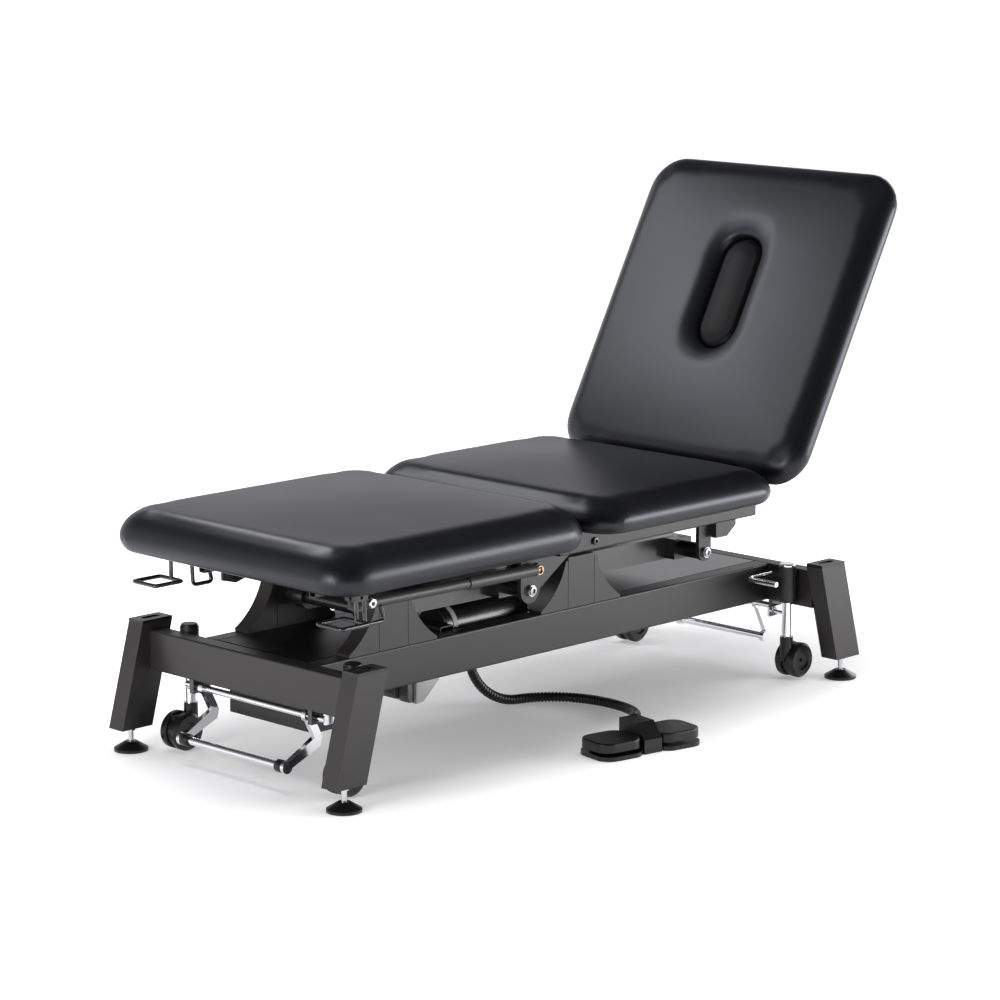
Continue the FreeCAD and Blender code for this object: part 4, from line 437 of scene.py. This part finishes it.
def outline_reach(angle, centre, low, high, corner):
    """How far a ray from the centre goes to the edge of a rounded rectangle."""
    way = Vector((math.cos(angle), math.sin(angle)))
    near, far = 0.0, LONGEST_REACH
    middle = (low + high) / 2
    half = (high - low) / 2
    radius = min(corner, half.x, half.y)
    for _ in range(REACH_STEPS):
        trial = (near + far) / 2
        point = centre + way * trial - middle
        outside_x, outside_y = abs(point.x) - half.x + radius, abs(point.y) - half.y + radius
        corner_reach = math.hypot(max(outside_x, 0), max(outside_y, 0))
        if corner_reach + min(max(outside_x, outside_y), 0) > radius:
            far = trial
        else:
            near = trial
    return near


def ring(centre, low, high, corner, height):
    points = []
    for i in range(RING_POINTS):
        angle = math.tau * i / RING_POINTS
        reach = outline_reach(angle, centre, low, high, corner)
        points.append((centre.x + reach * math.cos(angle), centre.y + reach * math.sin(angle), height))
    return points


def inset_ring(centre, low, high, corner, inset, height):
    shift = Vector((inset, inset))
    tighter = max(corner - INSET_CORNER * inset, LEAST_CORNER)
    return ring(centre, low + shift, high - shift, tighter, height)


def join_rings(name, rings, closed):
    """A quad skin over a stack of rings; closed makes it return into its first ring."""
    mesh = bpy.data.meshes.new(name)
    build = bmesh.new()
    rows = [[build.verts.new(point) for point in points] for points in rings]
    pairs = list(zip(rows, rows[1:]))
    if closed:
        pairs.append((rows[-1], rows[0]))
    for lower, upper in pairs:
        for i in range(RING_POINTS):
            j = (i + 1) % RING_POINTS
            build.faces.new((lower[i], lower[j], upper[j], upper[i]))
    if not closed:
        build.faces.new(list(reversed(rows[0])))
        build.faces.new(rows[-1])
    bmesh.ops.recalc_face_normals(build, faces=build.faces)
    build.to_mesh(mesh)
    build.free()
    for face in mesh.polygons:
        face.use_smooth = True
    item = bpy.data.objects.new(name, mesh)
    bpy.context.scene.collection.objects.link(item)
    return item


SIDE_SHARES = [(0.0, 1.0), (0.03, 0.74), (0.08, 0.48), (0.15, 0.26), (0.24, 0.10), (0.34, 0.0)]
ROLL_STEPS, ROLL_POWER = 12, 0.9


def side_profile(thick, draw, roll, crown):
    """Inset and height from the bottom edge, out over the side and in over the rolled top edge."""
    edge_top = thick - crown
    profile = [(share * draw, height * edge_top) for height, share in SIDE_SHARES]
    widest = profile[-1][1]
    for step in range(1, ROLL_STEPS + 1):
        turn = math.pi / 2 * step / ROLL_STEPS
        inset = roll * (1 - math.cos(turn)) ** ROLL_POWER
        profile.append((inset, widest + (edge_top - widest) * math.sin(turn)))
    return profile


print("side profile", len(SIDE_SHARES) + ROLL_STEPS, "points")

# %% [markdown]
# The drawn form starts a little thin. Vinyl over foam then swells as cloth: the skin is remeshed
# into even quads, the flat underside is held to its board, and a light pressure pushes the rest
# out. Foam only pushes outwards, so each point keeps the outward part of its move, up to a few
# millimetres, and a short smoothing takes out what is left of the voxel steps.

# %% Cloth that swells over the foam
SWELL, VOXEL, HELD_HEIGHT = 0.007, 0.006, 0.005
CLOTH_FRAMES, CLOTH_PRESSURE, SMOOTH_ROUNDS = 20, 4, 12


def even_skin(item):
    """Replace a mesh with even quads."""
    remesh = item.modifiers.new("even_quads", "REMESH")
    remesh.mode = "VOXEL"
    remesh.voxel_size = VOXEL
    bpy.context.view_layer.update()
    skin = bpy.data.meshes.new_from_object(item.evaluated_get(bpy.context.evaluated_depsgraph_get()))
    item.modifiers.clear()
    item.data = skin


def inflate(item, held):
    """Run the cloth and return where every point went."""
    group = item.vertex_groups.new(name="board")
    group.add(held, 1.0, "REPLACE")
    cloth = item.modifiers.new("vinyl", "CLOTH")
    cloth.settings.use_pressure = True
    cloth.settings.uniform_pressure_force = CLOTH_PRESSURE
    cloth.settings.vertex_group_mass = "board"
    cloth.settings.effector_weights.gravity = 0
    cloth.settings.quality = 2
    cloth.point_cache.frame_start, cloth.point_cache.frame_end = 1, CLOTH_FRAMES
    for step in range(1, CLOTH_FRAMES + 1):
        bpy.context.scene.frame_set(step)
    moved = item.evaluated_get(bpy.context.evaluated_depsgraph_get()).data
    places = [vertex.co.copy() for vertex in moved.vertices]
    item.modifiers.clear()
    item.vertex_groups.clear()
    bpy.context.scene.frame_set(1)
    return places


def smooth_skin(item, rounds, held):
    build = bmesh.new()
    build.from_mesh(item.data)
    build.verts.ensure_lookup_table()
    free = [vertex for vertex in build.verts if vertex.index not in held]
    for _ in range(rounds):
        bmesh.ops.smooth_vert(build, verts=free, factor=0.5,
                              use_axis_x=True, use_axis_y=True, use_axis_z=True)
    build.to_mesh(item.data)
    build.free()


def swell(item, floor):
    """Let a pad swell over its foam, then give it one subdivision."""
    material = item.data.materials[0]
    even_skin(item)
    item.data.materials.append(material)
    held = [vertex.index for vertex in item.data.vertices if vertex.co.z < floor + HELD_HEIGHT]
    start = [(vertex.co.copy(), vertex.normal.copy()) for vertex in item.data.vertices]
    for vertex, (before, out), after in zip(item.data.vertices, start, inflate(item, held)):
        vertex.co = before + out * min(max((after - before).dot(out), 0), SWELL)
    smooth_skin(item, SMOOTH_ROUNDS, set(held))
    item.modifiers.new("soft_skin", "SUBSURF")
    for face in item.data.polygons:
        face.use_smooth = True
    return item


START = SWELL
print("pads start smaller by", START)

# %% [markdown]
# The seat and leg cushions close over the top with a few wide rings. Their bottoms are flat,
# because they rest on the frame.

# %% Seat and leg cushions
PAD_RISE, BOARD_SHARES = 0.005, (0.98, 0.5, 0.15)
TOP_STEPS, TOP_SHARE = 12, 0.985


def dome(x, y, half):
    """One in the middle of a top and nothing along its edges, with no crease from the corners."""
    return max(1 - (x / half.x) ** 2, 0) * max(1 - (y / half.y) ** 2, 0)


def flat_cushion(name, node, body, over, crown=0.008, roll=0.050, draw=0.020, corner=0.075):
    """A pad on a board; over is how far it stands out past its board at each edge."""
    low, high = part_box(node)
    flat_low, flat_high = low.xy - Vector(over[:2]), high.xy + Vector(over[2:])
    centre = (flat_low + flat_high) / 2
    shortest = min(flat_high - flat_low) / 2
    half = (flat_high - flat_low) / 2 - Vector((roll, roll))
    thick = high.z - low.z + PAD_RISE - START
    profile = [(share * shortest, 0) for share in BOARD_SHARES] + side_profile(thick, draw, roll, crown)
    rings = [inset_ring(centre, flat_low, flat_high, corner, inset, low.z + height)
             for inset, height in profile]
    for step in range(1, TOP_STEPS + 1):
        inset = roll + step / TOP_STEPS * (TOP_SHARE * shortest - roll)
        points = inset_ring(centre, flat_low, flat_high, corner, inset, low.z + thick - crown)
        rings.append([(x, y, z + crown * dome(x - centre.x, y - centre.y, half)) for x, y, z in points])
    item = join_rings(name, rings, closed=False)
    item.data.materials.append(VINYL)
    swell(item, low.z)
    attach(item, body)
    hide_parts(node)
    return item


leg_pad = flat_cushion("leg_pad", "leg_cushion", "leg_section", (0.014, 0.014, 0.008, 0.014))
seat_pad = flat_cushion("seat_pad", "seat_cushion", "upper_frame", (0.0, 0.014, 0.004, 0.014))
print("pads", [tuple(round(v, 3) for v in pad.dimensions) for pad in (leg_pad, seat_pad)])

# %% [markdown]
# ## The back cushion
#
# The back has a long face hole. Here the rings run from the outline to the hole: in between, each
# ring is a mix of the two. At the hole the vinyl rolls over a soft rim and goes down the wall to
# the back board, and the skin returns along the back to where it began. The pad is drawn flat and
# then raised about the hinge.

# %% Back cushion and plug
BACK_HINGE = Vector((0.584, 0, 0.446))
BACK_ANGLE = math.radians(61.3)
BACK_TURN = Matrix.Translation(BACK_HINGE) @ Matrix.Rotation(BACK_ANGLE, 4, Vector((0, -1, 0)))
back_low, back_high = Vector((0.006, -0.362)), Vector((0.762, 0.362))
BACK_FLOOR, BACK_THICK, BACK_CORNER = 0.006, 0.070 - START, 0.085
HOLE_CENTRE, HOLE_HALF = Vector((0.434, 0)), Vector((0.138, 0.058))
FACE_STEPS, FACE_CREST, RIM_STEPS = 14, 1.15, 10


def hole_ring(grow, height):
    half = HOLE_HALF + Vector((grow, grow))
    return ring(HOLE_CENTRE, HOLE_CENTRE - half, HOLE_CENTRE + half, half.y, height)


def mixed_ring(outer, inner, share, height):
    return [(a[0] + (b[0] - a[0]) * share, a[1] + (b[1] - a[1]) * share, height)
            for a, b in zip(outer, inner)]


def back_rings():
    crown, roll, rim, draw, wall = 0.006, 0.036, 0.019, 0.016, 0.012
    rings = [hole_ring(0, BACK_FLOOR)]
    base_outer = inset_ring(HOLE_CENTRE, back_low, back_high, BACK_CORNER, draw, BACK_FLOOR)
    rings.append(mixed_ring(rings[0], base_outer, 0.5, BACK_FLOOR))
    for inset, height in side_profile(BACK_THICK, draw, roll, crown):
        rings.append(inset_ring(HOLE_CENTRE, back_low, back_high, BACK_CORNER, inset, BACK_FLOOR + height))
    outer, inner = rings[-1], hole_ring(rim, 0)
    edge_top = BACK_FLOOR + BACK_THICK - crown
    for step in range(1, FACE_STEPS + 1):
        share = step / FACE_STEPS
        lift = crown * math.sin(math.pi / 2 * min(1, share * FACE_CREST))
        rings.append(mixed_ring(outer, inner, share, edge_top + lift))
    top = BACK_FLOOR + BACK_THICK
    for step in range(1, RIM_STEPS + 1):
        turn = math.pi / 2 * step / RIM_STEPS
        rings.append(hole_ring(rim * (1 - math.sin(turn)), top - rim * (1 - math.cos(turn))))
    rings.append(hole_ring(0, BACK_FLOOR + wall))
    return rings


def raise_back(item, node):
    item.data.transform(BACK_TURN)
    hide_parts(node)


back_pad = join_rings("back_pad", back_rings(), closed=True)
back_pad.data.materials.append(VINYL)
swell(back_pad, BACK_FLOOR)
raise_back(back_pad, "back_cushion")
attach(back_pad, "back")


PLUG_STEPS, PLUG_FOOT_SHARE, PLUG_TOP_SHARES = 8, 0.9, (0.25, 0.5, 0.75, 0.97)


def plug_rings():
    sunk, depth, soft, gap, crown, chamfer = 0.015, 0.045, 0.016, 0.0008, 0.004, 0.006
    top = BACK_FLOOR + BACK_THICK + START - sunk
    foot = top - depth
    rings = [hole_ring(-PLUG_FOOT_SHARE * HOLE_HALF.y, foot), hole_ring(-gap - crown, foot)]
    rings.append(hole_ring(-gap, foot + chamfer))
    for step in range(0, PLUG_STEPS + 1):
        turn = math.pi / 2 * step / PLUG_STEPS
        inset, drop = soft * (1 - math.cos(turn)), soft * (1 - math.sin(turn))
        rings.append(hole_ring(-gap - inset, top - crown - drop))
    for share in PLUG_TOP_SHARES:
        inset = soft + share * (HOLE_HALF.y - soft)
        rings.append(hole_ring(-gap - inset, top - crown + crown * (1 - (1 - share) ** 2)))
    return rings


plug_pad = join_rings("plug_pad", plug_rings(), closed=False)
# The plug's darker vinyl is painted shade.
plug_pad.data.materials.append(SHADED_PLUG_VINYL)
raise_back(plug_pad, "face_plug")
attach(plug_pad, "plug")
print("back pad and plug", [tuple(round(v, 3) for v in pad.dimensions) for pad in (back_pad, plug_pad)])

# %% [markdown]
# ## Small fittings
#
# Socket bolts, brass rings, rubber clamps and the case of the control unit are small, but they
# catch the eye. A turned piece is a profile of radius and height spun about an axis; a bolt's inner
# rings are hexagons. Cylinders put one on another would do from afar, but a spun profile has the
# rounded edges that catch the light, and each new fitting is only one more row of numbers.

# %% Turned fittings
TURN_POINTS, SHARP_ANGLE = 36, math.radians(32)


def mesh_piece(name, build, material, body):
    """Make a piece from a finished bmesh and seat it on a body."""
    bmesh.ops.recalc_face_normals(build, faces=build.faces)
    mesh = bpy.data.meshes.new(name)
    build.to_mesh(mesh)
    build.free()
    for face in mesh.polygons:
        face.use_smooth = True
    mesh.set_sharp_from_angle(angle=SHARP_ANGLE)
    mesh.materials.append(material)
    item = bpy.data.objects.new(name, mesh)
    bpy.context.scene.collection.objects.link(item)
    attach(item, body)
    return item


def hex_reach(angle):
    """Distance to the edge of a hexagon whose flats are one away from its centre."""
    return 1 / math.cos((angle % (math.pi / 3)) - math.pi / 6)


def turned_piece(name, profile, place, axis, material, body, hollow=False):
    """Spin a profile of radius, height and a hexagon mark about an axis."""
    build = bmesh.new()
    stand = Matrix.Translation(place) @ Vector(axis).to_track_quat("Z", "Y").to_matrix().to_4x4()
    rows = []
    for radius, height, hexagon in profile:
        row = []
        for i in range(TURN_POINTS):
            angle = math.tau * i / TURN_POINTS
            reach = radius * (hex_reach(angle) if hexagon else 1)
            place_here = Vector((reach * math.cos(angle), reach * math.sin(angle), height))
            row.append(build.verts.new(stand @ place_here))
        rows.append(row)
    pairs = list(zip(rows, rows[1:])) + ([(rows[-1], rows[0])] if hollow else [])
    for lower, upper in pairs:
        for i in range(TURN_POINTS):
            j = (i + 1) % TURN_POINTS
            build.faces.new((lower[i], lower[j], upper[j], upper[i]))
    if not hollow:
        build.faces.new(rows[0])
        build.faces.new(rows[-1])
    return mesh_piece(name, build, material, body)


SOCKET_SHARE, SOCKET_MOUTH_SHARE, SOCKET_FLOOR = 0.46, 1.1, 0.0006
BOLT_EDGE_SHARES = ((1, 0), (1, 0.0026), (0.96, 0.0034), (0.88, 0.0038))


def socket_bolt(radius):
    """Profile of a flat bolt head with rounded edges and a hexagon socket."""
    flat = SOCKET_SHARE * radius
    mouth, top = BOLT_EDGE_SHARES[-2][1], BOLT_EDGE_SHARES[-1][1]
    head = tuple((share * radius, height, 0) for share, height in BOLT_EDGE_SHARES)
    return head + ((SOCKET_MOUTH_SHARE * flat, top, 1), (flat, mouth, 1), (flat, SOCKET_FLOOR, 1))


def on_side(place, hand):
    """A place that is given for the far side, on the side that hand asks for."""
    return (place[0], hand * place[1], place[2])


RING = ((0.0066, 0, 0), (0.0066, 0.0030, 0), (0.0080, 0.0040, 0), (0.0096, 0.0040, 0), (0.0108, 0.0028, 0),
        (0.0108, 0, 0))
CLAMP = ((0.0084, 0, 0), (0.0122, 0.0010, 0), (0.0132, 0.0030, 0), (0.0132, 0.0210, 0), (0.0122, 0.0232, 0),
         (0.0084, 0.0240, 0))
LIFT_PINS = {"foot": (-0.113, 0.2070, 0.320), "head": (0.442, 0.2070, 0.320)}
LEG_PIN, PEDAL_BAR = (0.058, 0.2268, 0.405), (-0.768, 0.134, 0.056)
GAS_GUARD_PIN, GAS_BODY_PIN = (-0.110, 0.2232, 0.367), (-0.590, 0.2236, 0.372)
LIFT_BOLT_RADIUS, LEG_BOLT_RADIUS, GAS_BOLT_RADIUS = 0.0098, 0.0082, 0.0094
for side, hand in (("near", -1), ("far", 1)):
    out = (0, hand, 0)
    for end, pin in LIFT_PINS.items():
        turned_piece(f"lift_bolt_{end}_{side}", socket_bolt(LIFT_BOLT_RADIUS), on_side(pin, hand), out,
                     BOLT_STEEL, "upper_frame")
    turned_piece(f"leg_bolt_{side}", socket_bolt(LEG_BOLT_RADIUS), on_side(LEG_PIN, hand), out,
                 BLACK_STEEL, "leg_section")
    turned_piece(f"gas_ring_{side}", RING, on_side(GAS_GUARD_PIN, hand), out, BRASS, f"gas_guard_{side}",
                 hollow=True)
    turned_piece(f"gas_bolt_{side}", socket_bolt(GAS_BOLT_RADIUS), on_side(GAS_BODY_PIN, hand), out,
                 ZINC, f"gas_body_{side}")
    turned_piece(f"pedal_clamp_{side}", CLAMP, on_side(PEDAL_BAR, hand), out, BLACK_PLASTIC,
                 "pedal_foot", hollow=True)

# %% [markdown]
# Under the foot end hang two release handles, bent from thick wire, and beside each one a hook for
# its cable. A wire is a round tube along a smooth curve; three points at a corner bend it tightly
# and leave the runs straight.

# %% Wire handles and hooks
def wire_piece(name, routes, radius, body):
    """Bent wire: one tube for each route, closed or open."""
    curve = bpy.data.curves.new(name, "CURVE")
    curve.dimensions = "3D"
    curve.bevel_depth, curve.bevel_resolution, curve.resolution_u = radius, 4, 8
    curve.use_fill_caps = True
    for route, closed in routes:
        spline = curve.splines.new("NURBS")
        spline.points.add(len(route) - 1)
        for point, place in zip(spline.points, route):
            point.co = (*place, 1)
        spline.order_u = 3
        spline.use_endpoint_u, spline.use_cyclic_u = not closed, closed
    line = bpy.data.objects.new(name, curve)
    bpy.context.scene.collection.objects.link(line)
    bpy.context.view_layer.update()
    tube = bpy.data.meshes.new_from_object(line.evaluated_get(bpy.context.evaluated_depsgraph_get()))
    bpy.data.objects.remove(line)
    build = bmesh.new()
    build.from_mesh(tube)
    return mesh_piece(name, build, BLACK_STEEL, body)


def bent_corners(corners, bend, closed):
    """Put a control point before and after each corner."""
    route = []
    count = len(corners)
    for i, corner in enumerate(corners):
        if not closed and i in (0, count - 1):
            route.append(corner)
            continue
        for other in (corners[i - 1], None, corners[(i + 1) % count]):
            route.append(corner if other is None else corner + (other - corner).normalized() * bend)
    return route


HANDLE_WIRE, HANDLE_BEND, STEM_GAP, HOOK_BEND, HOOK_ROW = 0.0045, 0.016, 0.002, 0.022, 0.262
HOOK_CORNERS = ((-0.650, 0.424), (-0.646, 0.344), (-0.594, 0.344), (-0.603, 0.376))
for side, hand in (("near", -1), ("far", 1)):
    low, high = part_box(f"release_handle_{side}")
    level, left, right = low.z + HANDLE_WIRE, low.x + HANDLE_WIRE, high.x - HANDLE_WIRE
    front, back, middle = low.y + HANDLE_WIRE, high.y - HANDLE_WIRE, (low.y + high.y) / 2
    loop = [Vector((x, y, level)) for x, y in ((left, front), (right, front), (right, back), (left, back))]
    stem = [Vector((right, middle, level)), Vector((right, middle, high.z - STEM_GAP))]
    handle = wire_piece(f"pull_handle_{side}", [(bent_corners(loop, HANDLE_BEND, True), True), (stem, False)],
                        HANDLE_WIRE, f"handle_{side}")
    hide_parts(f"release_handle_{side}")
    hook = [Vector((x, hand * HOOK_ROW, z)) for x, z in HOOK_CORNERS]
    hook_route = bent_corners(hook, HOOK_BEND, False)
    wire_piece(f"cable_hook_{side}", [(hook_route, False)], HANDLE_WIRE, "leg_section")

# %% [markdown]
# The control unit hangs under the tray: a pale case whose belly slopes up to the tray, with dark
# plugs in its end. It is seen from the side and half in shade, so a prism from its side outline,
# with every edge bevelled, says as much as a moulded shell with ribs would.

# %% Control unit
def wedge(build, outline, low, high):
    """A prism from an outline in X and Z, between two places on Y."""
    rows = [[build.verts.new((x, y, z)) for x, z in outline] for y in (low, high)]
    build.faces.new(rows[0])
    build.faces.new(list(reversed(rows[1])))
    for i in range(len(outline)):
        j = (i + 1) % len(outline)
        build.faces.new((rows[0][i], rows[1][i], rows[1][j], rows[0][j]))


def soft_edges(build, width):
    bmesh.ops.bevel(build, geom=list(build.edges), offset=width, segments=2, profile=0.5, affect="EDGES")


unit_low, unit_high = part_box("control_unit")
CASE_FRONT, CASE_EDGE, PLUG_EDGE = -0.398, 0.0022, 0.0018
BACK_DEPTH, BELLY_RISE, BELLY_FOOT, FRONT_DEPTH = 0.010, (0.012, 0.014), (0.022, 0.048), 0.050
front, back, top = CASE_FRONT, unit_high.x, unit_high.z
case = bmesh.new()
wedge(case, ((front, top), (back, top), (back, top - BACK_DEPTH),
             (back - BELLY_RISE[0], top - BELLY_RISE[1]), (front + BELLY_FOOT[0], top - BELLY_FOOT[1]),
             (front, top - FRONT_DEPTH)), unit_low.y, unit_high.y)
soft_edges(case, CASE_EDGE)
unit_case = mesh_piece("unit_case", case, LIGHT_PLASTIC, "base")
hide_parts("control_unit")
PLUG_BLOCKS = ((-0.143, -0.116, 0.046, 0.018), (-0.110, -0.072, 0.042, 0.026), (-0.066, -0.020, 0.034, 0.032))
PLUG_LOWER, PLUG_SEAT, CHIN_REACH_SHARE, CHIN_DROP_SHARE = 0.006, 0.001, 0.8, 0.7
plugs = bmesh.new()
for low, high, drop, reach in PLUG_BLOCKS:
    nose, seat, upper, lower = front - reach, front + PLUG_SEAT, top - PLUG_LOWER, top - drop
    wedge(plugs, ((nose, upper), (seat, upper), (seat, lower), (front - CHIN_REACH_SHARE * reach, lower),
                  (nose, top - CHIN_DROP_SHARE * drop)), low, high)
soft_edges(plugs, PLUG_EDGE)
mesh_piece("unit_plugs", plugs, GREY_PLASTIC, "base")
print("control unit", tuple(round(v, 3) for v in unit_case.dimensions))

# %% [markdown]
# ## The foot-switch hose
#
# The switch hangs on a ribbed plastic hose that leaves a gland under the tray, drops to the floor
# and curves round to the back of the switch. Its line is one smooth spline. A bevelled curve would
# give it a plain round skin, so the skin is built here from points read off that spline, with a low
# rib every few millimetres. A tapered boot relieves it where it enters the switch.

# %% Hose
HOSE_ROUTE = (
    (-0.044, 0.054, 0.1545), (-0.044, 0.054, 0.1148), (-0.0324, 0.0509, 0.0777), (-0.0102, 0.045, 0.0461),
    (0.0202, 0.0368, 0.0232), (0.0561, 0.0272, 0.0112), (0.0986, 0.0158, 0.0112), (0.1388, -0.0103, 0.0112),
    (0.169, -0.0476, 0.0112), (0.1884, -0.098, 0.0112), (0.1943, -0.1537, 0.0112), (0.1836, -0.2087, 0.012),
    (0.1556, -0.2572, 0.016), (0.1153, -0.2961, 0.024), (0.0689, -0.3274, 0.035), (0.008, -0.388, 0.049),
)
HOSE_DIAMETER, HOSE_GROOVE, HOSE_RIBS, HOSE_SIDES = 0.022, 0.0018, 96, 20
RIB_SHARES = ((0.04, 1), (0.36, 1), (0.46, 0), (0.94, 0))
SEAM_SIDE = Vector((0, 1, 0.3))


def smooth_line(name, route):
    """The points of a smooth spline through a route of control points."""
    curve = bpy.data.curves.new(name, "CURVE")
    curve.dimensions = "3D"
    curve.resolution_u = 24
    spline = curve.splines.new("NURBS")
    spline.points.add(len(route) - 1)
    for point, place in zip(spline.points, route):
        point.co = (*place, 1)
    spline.order_u = 3
    spline.use_endpoint_u = True
    item = bpy.data.objects.new(name, curve)
    bpy.context.scene.collection.objects.link(item)
    bpy.context.view_layer.update()
    line = bpy.data.meshes.new_from_object(item.evaluated_get(bpy.context.evaluated_depsgraph_get()))
    points = [vertex.co.copy() for vertex in line.vertices]
    bpy.data.objects.remove(item)
    return points


def along_line(points, distance):
    """The place and the direction at a distance along a line of points."""
    for first, second in zip(points, points[1:]):
        span = (second - first).length
        if distance <= span or second is points[-1]:
            return first + (second - first) * min(distance / span, 1), (second - first).normalized()
        distance -= span


def tube_along(name, points, profile, material):
    """A round tube on a line of points; its profile is pairs of distance and radius."""
    build = bmesh.new()
    rows = []
    for distance, radius in profile:
        centre, way = along_line(points, distance)
        across = way.cross(SEAM_SIDE).normalized()
        up = across.cross(way)
        row = []
        for i in range(HOSE_SIDES):
            angle = math.tau * i / HOSE_SIDES
            spoke = across * math.cos(angle) + up * math.sin(angle)
            row.append(build.verts.new(centre + spoke * radius))
        rows.append(row)
    for lower, upper in zip(rows, rows[1:]):
        for i in range(HOSE_SIDES):
            j = (i + 1) % HOSE_SIDES
            build.faces.new((lower[i], lower[j], upper[j], upper[i]))
    build.faces.new(rows[0])
    build.faces.new(rows[-1])
    return mesh_piece(name, build, material, "base")


def ribs(length):
    """Crest and groove of every rib, as distances and radii."""
    pitch, crest = length / HOSE_RIBS, HOSE_DIAMETER / 2
    profile = [(0.0, crest)]
    for rib in range(HOSE_RIBS):
        for share, deep in RIB_SHARES:
            profile.append(((rib + share) * pitch, crest - deep * HOSE_GROOVE))
    return profile + [(length, crest)]


BOOT_STEPS, BOOT_GROOVE, GROOVE_EVERY, GROOVED_SHARE = 14, 0.0011, 3, 0.85
BOOT_THIN, BOOT_THICK, BOOT_LIP = 0.0008, 0.0050, 0.0006
BOOT_START, BOOT_END = 0.060, 0.004


def boot(length):
    """A tapered strain relief with shallow grooves, thick where it meets the switch."""
    thin, thick = HOSE_DIAMETER / 2 + BOOT_THIN, HOSE_DIAMETER / 2 + BOOT_THICK
    first, last = length - BOOT_START, length - BOOT_END
    profile = [(first, thin - BOOT_LIP)]
    for step in range(1, BOOT_STEPS + 1):
        share = step / BOOT_STEPS
        groove = BOOT_GROOVE if step % GROOVE_EVERY == 0 and share < GROOVED_SHARE else 0
        profile.append((first + share * (last - first), thin + share * (thick - thin) - groove))
    return profile


hose_line = smooth_line("hose_line", HOSE_ROUTE)
hose_length = sum((b - a).length for a, b in zip(hose_line, hose_line[1:]))
hose = tube_along("switch_hose", hose_line, ribs(hose_length), HOSE_PLASTIC)
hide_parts("foot_switch_hose")
relief = tube_along("hose_boot", hose_line, boot(hose_length), BLACK_PLASTIC)
print("hose length", round(hose_length, 3))
